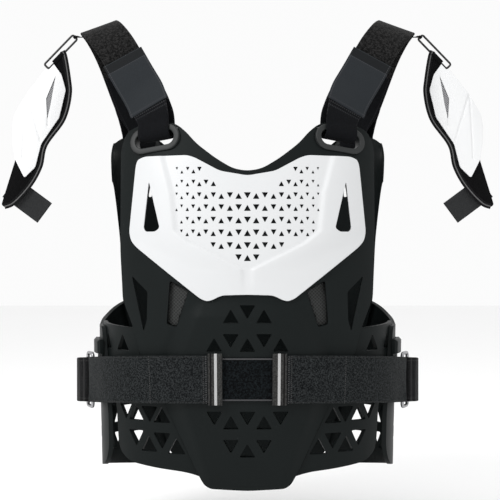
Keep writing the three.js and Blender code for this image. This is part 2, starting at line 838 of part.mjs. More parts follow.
function strapStations(side) {
  const front = slotFrame(-1, side);
  const back = slotFrame(1, side);
  const barAt = (frame) =>
    frame.middle.clone().addScaledVector(frame.up, slotHeight / 2);
  const seat = vec(side * seatOut, 0, strapWall / 2);
  const start = (frame) => {
    const foot = barAt(frame).addScaledVector(frame.normal, -foldRadius);
    return [foot, foot.clone().addScaledVector(frame.up, foldRise)];
  };
  const reach = (frame) => {
    const [, top] = start(frame);
    return strapRoute.map(({ out, along, down }) =>
      vec(lerp(top.x, seat.x, out), lerp(seat.y, top.y, along), lerp(seat.z, top.z, down)),
    );
  };
  const points = [...start(front), ...reach(front), seat, ...reach(back).reverse(), ...start(back).reverse()];
  const tilt = radians(seatTilt);
  const acrossAt = (share) => {
    const level = vec(-side * Math.cos(tilt), 0, Math.sin(tilt));
    const frontRight = front.right.clone().multiplyScalar(-side);
    const backRight = back.right.clone().multiplyScalar(side);
    if (share < 0.2) return frontRight.lerp(level, smooth(share, 0.04, 0.2));
    return level.lerp(backRight, smooth(share, 0.8, 0.96));
  };
  const length = new THREE.CatmullRomCurve3(points, false, "centripetal").getLength();
  const narrow = (run) => 1 - slotSqueeze * (1 - smooth(run, 0.5 * foldRise, 2.5 * foldRise));
  const main = alongCurve(points, acrossAt, 34).map((station) => {
    const run = Math.min(station.share, 1 - station.share) * length;
    return { ...station, narrow: narrow(run) };
  });
  main.forEach((station) => {
    if (station.out.dot(vec(side * 0.3, station.p.y, 40 + station.p.z / 2)) < 0) station.out.negate();
  });
  return { main, length, front, back, barAt };
}

// The fold's stations from the slot up the strap: they leave the main run by the slot's bar.
function foldStations(main, length, fold) {
  const kept = main.filter(({ share }) => share * length <= fold);
  return kept.map((station) => {
    const run = station.share * length;
    const away = lerp(2 * foldRadius, strapWall + fitGap, smooth(run, foldRise, foldRise + foldClose));
    return { ...station, p: station.p.clone().addScaledVector(station.out, away) };
  });
}

function foldTurn(frame, barAt, across) {
  return span(6).slice(1, -1).map((share) => {
    const angle = Math.PI * share;
    const spoke = frame.normal
      .clone()
      .multiplyScalar(-Math.cos(angle))
      .addScaledVector(frame.up, -Math.sin(angle));
    const p = barAt(frame).addScaledVector(spoke, foldRadius);
    return { p, across, narrow: 1 - slotSqueeze };
  });
}

function shoulderStrap(side) {
  const { main, length, front, back, barAt } = strapStations(side);
  const reversed = [...main].reverse().map((station) => ({ ...station, share: 1 - station.share }));
  const frontRun = foldStations(main, length, frontFold);
  const backRun = foldStations(reversed, length, backFold);
  const stations = [
    ...[...frontRun].reverse(),
    ...foldTurn(front, barAt, main[0].across).reverse(),
    ...main,
    ...foldTurn(back, barAt, main.at(-1).across),
    ...backRun,
  ];
  const folded = faced(frontRun).map((station, i) => {
    const sign = Math.sign(station.out.dot(frontRun[i].out));
    return { ...station, out: station.out.multiplyScalar(sign) };
  });
  return { geometry: band(faced(stations), strapWidth, strapWall), folded, length };
}

function strapTab({ folded, length }) {
  const stations = folded
    .filter(({ share }) => share * length >= frontFold - tabLength)
    .map((station) => ({
      ...station,
      narrow: 1,
      p: station.p.clone().addScaledVector(station.out, (strapWall + tabWall) / 2 + fitGap),
    }));
  return band(stations, tabWidth, tabWall);
}

// Belt
const beltHeight = (y) => -beltDrop - beltSink * (y + frontDepth);
const beltSeat = shellWall + bellyRise + fitGap + beltWall / 2;
const flapSeat = beltSeat + beltWall + fitGap;
const upright = (p) => ({ p: vec(p.x, p.y, beltHeight(p.y)), across: vec(0, 0, 1) });

// A point of the belt in plan, level with the widest section that the belt covers.
function beltPoint(turn, offset) {
  const y = ovalPoint(turn, -beltDrop).y;
  return bodyPoint(turn, beltHeight(y) + beltWidth / 2, offset);
}

const beltTurn = (x) => turnAt(x, -beltDrop + beltWidth / 2, beltSeat);

function beltBase() {
  const reach = beltTurn(beltBaseHalf);
  const stations = span(8).map((share) => upright(beltPoint(lerp(-reach, reach, share), beltSeat)));
  return band(faced(stations), beltWidth - 2 * baseInset, beltWall);
}

// Where a flap leaves the body, and the two upright bars of its ring.
function ringPlace(side) {
  const leave = beltPoint(side * flapTurn, (beltSeat + flapSeat) / 2);
  const outward = outwardAt(side * flapTurn, leave.z).setZ(0).normalize();
  const ahead = vec(-side * outward.y, side * outward.x, 0);
  const near = leave.clone().addScaledVector(ahead, flapRun);
  const far = near.clone().addScaledVector(ahead, beltRingLength);
  return { outward, ahead, near, far };
}

const wrapRadius = beltRingWire / 2 + fitGap + beltWall / 2;

// Half a turn of the strap round a bar, from its outer side round the given direction to its inner side.
const wrapRound = (bar, outward, round) =>
  span(6).map((share) => {
    const angle = Math.PI * share;
    const p = bar
      .clone()
      .addScaledVector(outward, wrapRadius * Math.cos(angle))
      .addScaledVector(round, wrapRadius * Math.sin(angle));
    return upright(p);
  });

function beltFlap(side) {
  const { outward, ahead, near } = ringPlace(side);
  const run = (x, offset, count) =>
    span(count).map((share) => {
      const turn = lerp(beltTurn(x), flapTurn, share);
      return upright(beltPoint(side * turn, offset));
    });
  const stations = [
    ...run(flapInset, flapSeat, 9),
    ...wrapRound(near, outward, ahead),
    ...run(flapReturn, beltSeat, 4).reverse(),
  ];
  return band(faced(stations), beltWidth, beltWall);
}

function pullTab(side) {
  const offset = flapSeat + (beltWall + pullTabWall) / 2 + fitGap;
  const stations = span(2).map((share) => {
    const turn = beltTurn(flapInset + share * pullTabLength);
    return upright(beltPoint(side * turn, offset));
  });
  return band(faced(stations), beltWidth + 4, pullTabWall);
}

// Plan of half the loose rear strap: shares of its reach and of the depth at which it lies on the back.
const rearRows = [
  { out: 0.985, along: 0.1 },
  { out: 1, along: 0.34 },
  { out: 0.95, along: 0.63 },
  { out: 0.78, along: 0.88 },
  { out: 0.5, along: 0.97 },
  { out: 0.25, along: 1 },
];

function beltRear() {
  const seat = backDepth * bodyBack(shareAt(beltHeight(backDepth) + beltWidth / 2)) + shellWall;
  const rest = vec(0, seat + fitGap + beltWall / 2 + 0.2, 0);
  const half = (side) => {
    const { outward, ahead, far } = ringPlace(side);
    const top = far.clone().addScaledVector(outward, wrapRadius);
    const rows = rearRows.map(({ out, along }) => vec(side * out * beltReach, along * rest.y, 0));
    return { wrap: wrapRound(far, outward, ahead.clone().negate()), start: top, rows };
  };
  const [left, right] = [half(-1), half(1)];
  const points = [left.start, ...left.rows, rest, ...right.rows.toReversed(), right.start];
  const flat = points.map((p) => vec(p.x, p.y, 0));
  const main = alongCurve(flat, () => vec(0, 0, 1), 32);
  const inward = beltWall + fitGap;
  const returned = (list) =>
    list.slice(1, 4).map(({ p, out }, i) => {
      const away = i === 0 ? 2 * wrapRadius * 0.75 : inward;
      return upright(p.clone().addScaledVector(out, -away * Math.sign(out.dot(p))));
    });
  const stations = [
    ...returned(main).reverse(),
    ...left.wrap.toReversed(),
    ...main.slice(1, -1).map(({ p }) => upright(p)),
    ...right.wrap,
    ...returned(main.toReversed()),
  ];
  return band(faced(stations), beltWidth, beltWall);
}

// A closed wire along a flat loop of [right, up] points.
function loopWire(points, origin, right, up, thickness, facets = 6) {
  const normal = right.clone().cross(up);
  const count = points.length;
  const positions = [];
  points.forEach(([x, y], i) => {
    const [ax, ay] = points[(i + count - 1) % count];
    const [bx, by] = points[(i + 1) % count];
    const away = new THREE.Vector2(by - ay, ax - bx).normalize();
    for (let k = 0; k < facets; k++) {
      const angle = (2 * Math.PI * k) / facets;
      const reach = (thickness / 2) * Math.cos(angle);
      const p = origin
        .clone()
        .addScaledVector(right, x + away.x * reach)
        .addScaledVector(up, y + away.y * reach)
        .addScaledVector(normal, (thickness / 2) * Math.sin(angle));
      positions.push(p.x, p.y, p.z);
    }
  });
  const index = [];
  for (let i = 0; i < count; i++) {
    for (let k = 0; k < facets; k++) {
      const [a, b] = [i * facets + k, i * facets + ((k + 1) % facets)];
      const [c, d] = [a, b].map((j) => (j + facets) % (count * facets));
      index.push(a, b, d, a, d, c);
    }
  }
  const geometry = new THREE.BufferGeometry();
  geometry.setAttribute("position", new THREE.Float32BufferAttribute(positions, 3));
  geometry.setIndex(index);
  return facingOut(geometry);
}

// A rectangle with round corners, as a loop of [right, up] points.
function roundedLoop(width, height, corner, steps = 2) {
  return [[1, 1, 0], [-1, 1, 90], [-1, -1, 180], [1, -1, 270]].flatMap(([sx, sy, from]) =>
    span(steps).map((share) => {
      const angle = radians(from + 90 * share);
      return [
        sx * (width / 2 - corner) + corner * Math.cos(angle),
        sy * (height / 2 - corner) + corner * Math.sin(angle),
      ];
    }),
  );
}

function beltRing(side) {
  const { ahead, near, far } = ringPlace(side);
  const middle = near.clone().add(far).multiplyScalar(0.5);
  middle.z = beltHeight(middle.y);
  const loop = roundedLoop(beltRingLength, beltRingHeight, beltRingWire);
  return loopWire(loop, middle, ahead, vec(0, 0, 1), beltRingWire);
}

// A block on a back wing above the belt, with a thinner foot that runs down behind the belt.
function beltKeeper(side) {
  const seat = backWingSeat + wingWall + fitGap;
  const turns = span(4).map((share) => side * lerp(72, 87, share));
  const ordered = side > 0 ? turns : turns.toReversed();
  const top = beltHeight(-frontDepth / 2) + beltWidth / 2 + fitGap + keeperHeight + 3;
  const layers = [top, top - keeperHeight, top - keeperHeight - 0.5, top - keeperHeight - beltWidth];
  const rises = [keeperRise, keeperRise, keeperWall, keeperWall];
  const layer = (outer) =>
    layers.map((z, i) =>
      ordered.map((turn) => bodyPoint(turn, z, seat + (outer ? rises[i] : 0))),
    );
  return wall(layer(false), layer(true));
}

// Arm guards: everything below is measured from the upper end of the ring's lower bar
const ringAxis = (side) => {
  const slope = radians(guardRingSlope);
  return vec(side * Math.cos(slope), 0, -Math.sin(slope));
};
const ringUp = (side) => {
  const slope = radians(guardRingSlope);
  return vec(side * Math.sin(slope), 0, Math.cos(slope));
};
const strapEdge = (side) => {
  const tilt = radians(seatTilt);
  const outward = vec(side * Math.cos(tilt), 0, -Math.sin(tilt));
  const seat = vec(side * seatOut, 0, strapWall / 2);
  return { outward, edge: seat.addScaledVector(outward, strapWidth / 2) };
};
const ringTop = (side) => {
  const { outward, edge } = strapEdge(side);
  return edge.addScaledVector(outward, hangerReach + guardWire);
};
const barStart = (side) => ringTop(side).addScaledVector(ringUp(side), -guardRingWidth / 2);

function guardRing(side) {
  const middle = ringTop(side).addScaledVector(ringAxis(side), guardRingLength / 2);
  const loop = roundedLoop(guardRingLength, guardRingWidth, guardWire);
  return loopWire(loop, middle, ringAxis(side), ringUp(side), guardWire);
}

// Webbing from under the strap's edge: it turns on edge and folds round the ring's upper end.
function guardHanger(side) {
  const { outward, edge } = strapEdge(side);
  const under = outward.clone().cross(vec(0, side, 0)).normalize();
  const drop = (strapWall + hangerWall) / 2 + fitGap + strapSag;
  const bar = ringTop(side);
  const flat = vec(0, 1, 0);
  const onEdge = ringUp(side);
  const wrap = guardWire / 2 + fitGap + hangerWall / 2;
  const down = under.z < 0 ? under : under.negate();
  const station = (along, y, twist, sink) => ({
    p: edge.clone().addScaledVector(outward, along).addScaledVector(down, sink).setY(y),
    across: flat.clone().lerp(onEdge, twist).normalize(),
  });
  const turn = span(6).map((share) => {
    const angle = Math.PI * share;
    const p = bar
      .clone()
      .addScaledVector(vec(0, -1, 0), wrap * Math.cos(angle))
      .addScaledVector(ringAxis(side), wrap * Math.sin(angle));
    return { p, across: onEdge };
  });
  const end = turn.at(-1).p.clone().addScaledVector(ringAxis(side), -2);
  const stations = [
    station(-9, 0, 0, drop),
    station(-1, 0, 0, drop),
    station(1.2, -0.4, 0.3, 0.8 * drop),
    station(3.4, -1.2, 0.75, 0.4 * drop),
    ...turn,
    { p: end, across: onEdge },
  ];
  return band(faced(stations), hangerWidth, hangerWall);
}

// Outlines in shares of the guard's reach away from the body and of its drop.
const guardEdge = [
  { out: 0.265, down: 0.115 },
  { out: 0.181, down: 0.07 },
  { out: 0.155, down: 0.099 },
  { out: 0.104, down: 0.246 },
  { out: 0.095, down: 0.315 },
  { out: 0.176, down: 0.47 },
  { out: 0.419, down: 0.637 },
  { out: 0.482, down: 0.759 },
  { out: 0.627, down: 0.878 },
  { out: 0.853, down: 0.984 },
  { out: 0.951, down: 1 },
  { out: 1, down: 0.984 },
  { out: 0.816, down: 0.715 },
];
const guardOuter = [
  { out: 0.853, down: 0.621 },
  { out: 0.867, down: 0.523 },
  { out: 0.844, down: 0.445 },
  { out: 0.685, down: 0.329 },
  { out: 0.393, down: 0.168 },
];
const guardPlateEdge = [
  { out: 0.321, down: 0.141 },
  { out: 0.204, down: 0.213 },
  { out: 0.152, down: 0.303 },
  { out: 0.239, down: 0.466 },
  { out: 0.473, down: 0.625 },
  { out: 0.549, down: 0.761 },
  { out: 0.69, down: 0.825 },
  { out: 0.816, down: 0.715 },
];
const guardVent = [
  { out: 0.279, down: 0.219 },
  { out: 0.344, down: 0.385 },
  { out: 0.39, down: 0.478 },
  { out: 0.405, down: 0.356 },
];
const guardLean = { out: 0.312, down: 0.95 }; // direction of the guard's long axis

const guardFigure = (rows, side) =>
  rows.map(({ out, down }) => [side * out * guardReach, -down * guardLength]);

// How far the guard bends back at a point given from the bar's upper end.
function guardBend(out, down) {
  const across =
    (out - guardReach / 2) * guardLean.down - (down - guardLength / 2) * guardLean.out;
  return across ** 2 / (2 * guardBow);
}

// A bent slab between two depths, cut to an outline.
function guardSlab(figure, from, to, side) {
  const reach = 0.62 * guardLength;
  const layer = (depth) =>
    [-1, 0, 1].map((run) =>
      span(8).map((share) => {
        const c = side * lerp(-0.45, 0.45, share) * guardReach;
        const l = run * reach;
        const out = guardReach / 2 + side * c * guardLean.down + l * guardLean.out;
        const down = guardLength / 2 - side * c * guardLean.out + l * guardLean.down;
        return vec(side * out, depth + guardBend(out, down), -down);
      }),
    );
  const slab = solid(wall(layer(to), layer(from)));
  const tool = cutter(figure, vec(0, 0, 0), vec(1, 0, 0), vec(0, 0, 1), guardLength, guardLength);
  return slab.intersect(tool);
}

// A straight rod along the ring's bar between two distances from its upper end.
function barRod(side, radius, from, to, facets = 8) {
  const rod = new THREE.CylinderGeometry(radius, radius, to - from, facets);
  rod.translate(0, (from + to) / 2, 0);
  const turn = new THREE.Quaternion().setFromUnitVectors(vec(0, 1, 0), ringAxis(side));
  return solid(rod.applyQuaternion(turn));
}

function barBox(side, from, to, above, below) {
  const box = new THREE.BoxGeometry(to - from, above + below, guardLength);
  box.translate((from + to) / 2, (above - below) / 2, 0);
  const axes = new THREE.Matrix4().makeBasis(
    ringAxis(side), ringUp(side), ringAxis(side).cross(ringUp(side)),
  );
  return solid(box.applyMatrix4(axes));
}

const hemEnd = guardRingLength - 9;
const hemStart = hemEnd - hemLength;
const boreRadius = guardWire / 2 + fitGap;
const ringEndBox = (side) =>
  barBox(side, hemEnd, guardRingLength + guardWire, guardRingWidth + guardWire, boreRadius);

function guardBacking(side) {
  const half = guardBackingWall / 2;
  const figure = guardFigure([...guardEdge, ...guardOuter], side);
  const hem = barRod(side, boreRadius + hemWall, hemStart, hemEnd);
  const tip = barBox(side, -guardWire, hemStart, guardRingWidth, boreRadius + hemWall / 2);
  return guardSlab(figure, -half, half, side)
    .subtract(tip)
    .add(hem)
    .subtract(ringEndBox(side))
    .subtract(barRod(side, boreRadius, -guardWire, guardRingLength));
}

const guardPlateSeat = -guardBackingWall / 2 - fitGap;

function guardPlate(side) {
  const figure = guardFigure([...guardPlateEdge, ...guardOuter], side);
  const vent = guardFigure(guardVent, side);
  const opening = cutter(vent, vec(0, 0, 0), vec(1, 0, 0), vec(0, 0, 1), guardLength, guardLength);
  const hem = barRod(side, boreRadius + hemWall + fitGap, hemStart, hemEnd + fitGap);
  return guardSlab(figure, guardPlateSeat - guardWall, guardPlateSeat, side)
    .subtract(opening)
    .subtract(ringEndBox(side))
    .subtract(hem);
}

function guardVentSheet(side) {
  const rows = guardFigure(guardVent, side);
  const middle = rows.reduce(([x, z], [px, pz]) => [x + px / 4, z + pz / 4], [0, 0]);
  const inset = rows.map(([x, z]) => [lerp(middle[0], x, 0.86), lerp(middle[1], z, 0.86)]);
  return guardSlab(inset, guardPlateSeat - guardWall / 2, guardPlateSeat, side);
}

// Stub of the strap round the arm, behind the guard's lower end.
function armStrap(side) {
  const run = vec(-side * 0.804, 0, -0.594);
  const across = vec(side * 0.594, 0, -0.804);
  const depth = guardBackingWall / 2 + armStrapWall / 2 + fitGap + 1.2;
  const edge = vec(side * 0.74 * guardReach, depth, -0.931 * guardLength);
  const stations = [-armStrapHidden, armStrapLength].map((along) => ({
    p: edge.clone().addScaledVector(run, along),
    across,
    out: vec(0, 1, 0),
  }));
  return band(stations, armStrapWidth, armStrapWall);
}

// Volume and centre of mass of a closed geometry.
function massOf(geometry) {
  const loose = geometry.index ? geometry.toNonIndexed() : geometry;
  const place = loose.attributes.position;
  const corner = (i) => new THREE.Vector3().fromBufferAttribute(place, i);
  const centre = vec(0, 0, 0);
  let volume = 0;
  for (let i = 0; i < place.count; i += 3) {
    const [a, b, c] = [corner(i), corner(i + 1), corner(i + 2)];
    const piece = a.dot(b.clone().cross(c)) / 6;
    volume += piece;
    centre.addScaledVector(a.add(b).add(c), piece / 4);
  }
  return { volume, centre: centre.divideScalar(volume) };
}

// The guard hangs still: it is turned about its bar until its centre of mass lies in the bar's own
// upright plane.
function hangAngle(pieces, side) {
  const masses = pieces.map(massOf);
  const total = masses.reduce((sum, { volume }) => sum + volume, 0);
  const centre = vec(0, 0, 0);
  masses.forEach((mass) => centre.addScaledVector(mass.centre, mass.volume / total));
  const below = -centre.dot(ringUp(side));
  return Math.atan2(centre.y, below);
}

for (const { name, side } of sides) {
  const strap = shoulderStrap(side);
  add(group, `shoulder_strap_${name}`, strap.geometry, webbingBlack);
  add(group, `strap_tab_${name}`, strapTab(strap), tabGrey);
  add(group, `slot_ring_front_${name}`, slotRing(-1, side), ringGrey);
  add(group, `slot_ring_back_${name}`, slotRing(1, side), ringGrey);
  add(group, `vent_mesh_${name}`, geometryOf(ventMesh(side)), meshBlack);
  add(group, `front_wing_${name}`, geometryOf(frontWing(side)), shellBlack);
  add(group, `back_wing_${name}`, geometryOf(backWing(side)), shellBlack);
  add(group, `belt_flap_${name}`, beltFlap(side), webbingBlack);
  add(group, `pull_tab_${name}`, pullTab(side), tabGrey);
  add(group, `belt_ring_${name}`, beltRing(side), steel);
  add(group, `belt_keeper_${name}`, beltKeeper(side), shellBlack);
  add(group, `guard_hanger_${name}`, guardHanger(side), webbingBlack);
  add(group, `guard_ring_${name}`, guardRing(side), wireBlack);

  const backing = geometryOf(guardBacking(side));
  const plate = geometryOf(guardPlate(side));
  const vent = geometryOf(guardVentSheet(side));
  const strapStub = armStrap(side);
  const angle = hangAngle([backing, plate, vent, strapStub], side);
  const guard = new THREE.Group();
  guard.position.copy(barStart(side));
  guard.quaternion.setFromAxisAngle(ringAxis(side), -side * angle);
  add(guard, `guard_backing_${name}`, backing, shellBlack);
  add(guard, `guard_plate_${name}`, plate, plateWhite);
  add(guard, `guard_vent_${name}`, vent, meshGrey);
  add(guard, `arm_strap_${name}`, strapStub, tabGrey);
  group.add(guard);
}
add(group, "front_shell", geometryOf(frontShell()), shellBlack);
add(group, "chest_plate", geometryOf(chestPlate()), plateWhite);
add(group, "back_shell", geometryOf(backShell()), shellBlack);
add(group, "belt_base", beltBase(), webbingBlack);
add(group, "belt_rear", beltRear(), webbingBlack);

export default group;
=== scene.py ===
import math
import bmesh
import bpy
import numpy as np
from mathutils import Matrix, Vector


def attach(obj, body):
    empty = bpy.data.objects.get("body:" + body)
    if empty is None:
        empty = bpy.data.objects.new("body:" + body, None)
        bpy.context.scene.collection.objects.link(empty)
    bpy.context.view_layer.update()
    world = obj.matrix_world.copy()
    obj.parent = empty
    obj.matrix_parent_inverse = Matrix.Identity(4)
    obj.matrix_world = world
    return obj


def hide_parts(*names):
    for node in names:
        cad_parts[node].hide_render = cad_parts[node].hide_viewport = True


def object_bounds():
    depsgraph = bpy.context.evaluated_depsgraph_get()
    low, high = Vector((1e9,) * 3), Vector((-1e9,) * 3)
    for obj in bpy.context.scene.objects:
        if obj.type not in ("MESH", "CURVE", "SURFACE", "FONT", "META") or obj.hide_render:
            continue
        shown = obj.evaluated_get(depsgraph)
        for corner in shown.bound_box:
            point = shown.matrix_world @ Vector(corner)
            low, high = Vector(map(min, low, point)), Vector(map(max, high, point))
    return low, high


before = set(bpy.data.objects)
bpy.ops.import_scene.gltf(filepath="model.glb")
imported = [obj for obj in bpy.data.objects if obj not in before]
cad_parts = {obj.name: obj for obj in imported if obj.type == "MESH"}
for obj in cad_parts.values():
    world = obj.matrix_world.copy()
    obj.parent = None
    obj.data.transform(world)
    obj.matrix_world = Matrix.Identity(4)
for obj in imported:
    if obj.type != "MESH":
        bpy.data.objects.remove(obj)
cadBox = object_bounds()
sides = {"left": -1, "right": 1}
print("frame loaded")

# Sizes are worked out in millimetres and become metres where a mesh is made.
body = {"halfWidth": 165, "front": 121, "back": 106, "roundness": 2.4, "top": -121, "height": 404}
bodyRows = np.array([  # down the shell: width, front and back shares
    [0, .96, .77, .86],
    [.18, .98, .91, .96],
    [.42, 1, 1, 1],
    [.7, .995, .99, .98],
    [1, .98, .91, .93],
])
shellHalf = 145
backHalf = 165
wallDepth = 8


def smooth(value, low, high):
    share = np.clip((np.asarray(value, float) - low) / (high - low), 0, 1)
    return share * share * (3 - 2 * share)


def hermite(t, start, end, startSlope, endSlope):
    return (
        (2 * t**3 - 3 * t**2 + 1) * start + (t**3 - 2 * t**2 + t) * startSlope
        + (-2 * t**3 + 3 * t**2) * end + (t**3 - t**2) * endSlope
    )


# Hermite curve through the body rows, with slopes from the rows on either side and free ends.
def bodyShares(share):
    rows = np.vstack([2 * bodyRows[0] - bodyRows[1], bodyRows, 2 * bodyRows[-1] - bodyRows[-2]])
    at = np.clip(share, 0, 1)
    i = np.clip(np.searchsorted(rows[:, 0], at, "right") - 1, 1, len(rows) - 3)
    a, b, c, d = rows[i - 1], rows[i], rows[i + 1], rows[i + 2]
    run = c[..., :1] - b[..., :1]
    slopeB = (c - a) / (c[..., :1] - a[..., :1]) * run
    slopeC = (d - b) / (d[..., :1] - b[..., :1]) * run
    value = hermite((np.asarray(at)[..., None] - b[..., :1]) / run, b, c, slopeB, slopeC)
    return value[..., 1], value[..., 2], value[..., 3]


def shareAt(z):
    return (body["top"] - z) / body["height"]


def heightAt(share):
    return body["top"] - share * body["height"]


# Superellipse in plan: turn runs round the body in degrees from the chest, positive to +X.
def ovalPoint(turn, z):
    turn, z = np.broadcast_arrays(np.asarray(turn, float), np.asarray(z, float))
    across, along = np.sin(np.radians(turn)), np.cos(np.radians(turn))
    width, front, back = bodyShares(shareAt(z))
    depth = np.where(along > 0, body["front"] * front, body["back"] * back)
    power = body["roundness"]
    size = (abs(across) / (body["halfWidth"] * width)) ** power + (abs(along) / depth) ** power
    radius = size ** (-1 / power)
    return np.stack([radius * across, -radius * along, z], -1)


def unit(v):
    v = np.asarray(v, float)
    return v / np.maximum(np.linalg.norm(v, axis=-1, keepdims=True), 1e-9)


def outwardAt(turn, z):
    around = ovalPoint(turn + .5, z) - ovalPoint(turn - .5, z)
    upward = ovalPoint(turn, z + .5) - ovalPoint(turn, z - .5)
    return unit(np.cross(around, upward))


def bodyPoint(turn, z, offset=0.0):
    turn, z = np.broadcast_arrays(np.asarray(turn, float), np.asarray(z, float))
    return ovalPoint(turn, z) + outwardAt(turn, z) * np.asarray(offset, float)[..., None]


# The turn, in front, at which the raised surface lies x from the centre plane, by halving.
def turnAt(x, z, offset=0.0):
    low, high = 0.0, 90.0
    for halving in range(26):
        middle = (low + high) / 2
        if bodyPoint(middle, z, offset)[0] < abs(x):
            low = middle
        else:
            high = middle
    return math.copysign((low + high) / 2, x)


def setMaterial(mesh, material):
    mesh.materials.clear()
    mesh.materials.append(material)


# A mesh from points in millimetres and faces, with one UV per point if given.
def makePiece(name, points, faces, material, uv=None, flat=False):
    name = name.replace(" ", "_") + "_form"
    mesh = bpy.data.meshes.new(name)
    mesh.from_pydata((np.asarray(points, float) / 1000).tolist(), [], [list(map(int, f)) for f in faces])
    if uv is not None:
        layer = mesh.uv_layers.new(name="run")
        corner = np.empty(len(mesh.loops), int)
        mesh.loops.foreach_get("vertex_index", corner)
        layer.data.foreach_set("uv", np.asarray(uv, float)[corner].ravel())
    mesh.update()
    shape = bmesh.new()
    shape.from_mesh(mesh)
    bmesh.ops.recalc_face_normals(shape, faces=shape.faces)
    shape.to_mesh(mesh)
    shape.free()
    mesh.polygons.foreach_set("use_smooth", [not flat] * len(mesh.polygons))
    piece = bpy.data.objects.new(name, mesh)
    bpy.context.scene.collection.objects.link(piece)
    if material:
        setMaterial(mesh, material)
    return piece


# Hands a piece to the frame. A piece that bears a node's name takes that node's place.
def finishPiece(piece, rides="protector", replaces=True):
    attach(piece, rides)
    if replaces:
        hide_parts(piece.name.removesuffix("_form"))


# Quads of a closed wall between two grids of the same rows and columns.
def wallFaces(rows, columns):
    index = np.arange(rows * columns).reshape(rows, columns)
    a, b, c, d = index[:-1, :-1], index[1:, :-1], index[1:, 1:], index[:-1, 1:]
    outer = np.stack([a, b, c, d], -1).reshape(-1, 4)
    inner = outer[:, ::-1] + rows * columns
    rim = np.concatenate([index[0, ::-1], index[1:, 0], index[-1, 1:], index[-2:0:-1, -1]])
    rim = np.stack([rim, rim + rows * columns, np.roll(rim, -1) + rows * columns, np.roll(rim, -1)], -1)
    return np.concatenate([outer, inner, rim[:, ::-1]])


# Quads of a grid that is closed along both of its ways.
def tubeFaces(rows, columns):
    index = np.arange(rows * columns).reshape(rows, columns)
    ahead = np.roll(index, -1, 0)
    return np.stack([index, np.roll(index, -1, 1), np.roll(ahead, -1, 1), ahead], -1).reshape(-1, 4)


# A closed wall on the body between two offsets, each a number or a rule of turn, height and base point.
def bodyWall(name, turns, heights, inner, outer, material):
    turn, z = np.meshgrid(turns, heights)
    base = bodyPoint(turn, z, wallDepth)
    offsets = [offset(turn, z, base) if callable(offset) else offset for offset in (outer, inner)]
    points = np.concatenate([bodyPoint(turn, z, offset).reshape(-1, 3) for offset in offsets])
    return makePiece(name, points, wallFaces(*turn.shape), material)


# Rounds each corner of a closed figure with a short parabola between points beside the corner.
def rounded(points, radius, steps=4):
    points = np.asarray(points, float)
    back, ahead = np.roll(points, 1, 0) - points, np.roll(points, -1, 0) - points
    cut = np.minimum(radius, .45 * np.minimum(np.linalg.norm(back, axis=1), np.linalg.norm(ahead, axis=1)))
    a, c = points + unit(back) * cut[:, None], points + unit(ahead) * cut[:, None]
    t = np.linspace(0, 1, steps + 1)[None, :, None]
    curve = (1 - t) ** 2 * a[:, None] + 2 * t * (1 - t) * points[:, None] + t**2 * c[:, None]
    return curve.reshape(-1, 2)


# Prisms of flat figures: each figure is pushed along its normal from near to far.
def prismParts(figures):
    points, faces, start = [], [], 0
    for figure, origin, right, up, near, far in figures:
        figure = np.asarray(figure, float)
        area = np.sum(figure[:, 0] * np.roll(figure[:, 1], -1) - np.roll(figure[:, 0], -1) * figure[:, 1])
        if area < 0:
            figure = figure[::-1]
        right, up, origin = np.asarray(right, float), np.asarray(up, float), np.asarray(origin, float)
        normal = np.cross(right, up)
        plane = origin + figure[:, :1] * right + figure[:, 1:] * up
        count = len(figure)
        points += [plane + near * normal, plane + far * normal]
        ring = np.arange(count)
        following = np.roll(ring, -1)
        faces += [[*(start + ring[::-1])], [*(start + count + ring)]]
        faces += (start + np.stack([ring, following, following + count, ring + count], -1)).tolist()
        start += 2 * count
    return np.concatenate(points), faces


# Cuts a piece with prisms: keep is what stays, holes are what goes.
def carve(piece, keep, holes):
    tools = []
    for operation, figures in [("INTERSECT", keep), ("DIFFERENCE", holes)]:
        if not figures:
            continue
        tool = makePiece("tool", *prismParts(figures), None, flat=True)
        tools.append(tool)
        cut = piece.modifiers.new("cut", "BOOLEAN")
        cut.operation, cut.object, cut.solver = operation, tool, "MANIFOLD"
    graph = bpy.context.evaluated_depsgraph_get()
    done = bpy.data.meshes.new_from_object(piece.evaluated_get(graph), depsgraph=graph)
    whole = piece.data
    piece.modifiers.clear()
    piece.data = done
    bpy.data.meshes.remove(whole)
    done.name = piece.name
    for tool in tools:
        bpy.data.objects.remove(tool)
    print("  carved", piece.name, len(done.polygons))


# Smooth shading that keeps edges sharper than the angle.
def shadeByAngle(piece, angle=32):
    mesh = piece.data
    mesh.polygons.foreach_set("use_smooth", [True] * len(mesh.polygons))
    mesh.set_sharp_from_angle(angle=math.radians(angle))


# A prism through the front half of the body, or through its back half when it faces +Y.
def throughFront(figure, facing=-1, reach=240):
    return (mirrored(figure, -facing), (0, 0, 0), (-facing, 0, 0), (0, 0, 1), 0, reach)


def onShell(rows, half=shellHalf):
    rows = np.asarray(rows, float)
    return np.stack([rows[:, 0] * half, heightAt(rows[:, 1])], -1)


def bothHalves(rows, half=shellHalf):
    figure = onShell(rows, half)
    other = figure[figure[:, 0] > 0] * [-1, 1]
    return np.concatenate([figure, other[::-1]])


def mirrored(figure, side):
    return np.asarray(figure, float) * [side, 1]


def triangle(size, pointing):
    high = size * math.sqrt(3) / 2
    return np.array([[-size / 2, -high / 3], [size / 2, -high / 3], [0, 2 * high / 3]]) * [1, pointing]


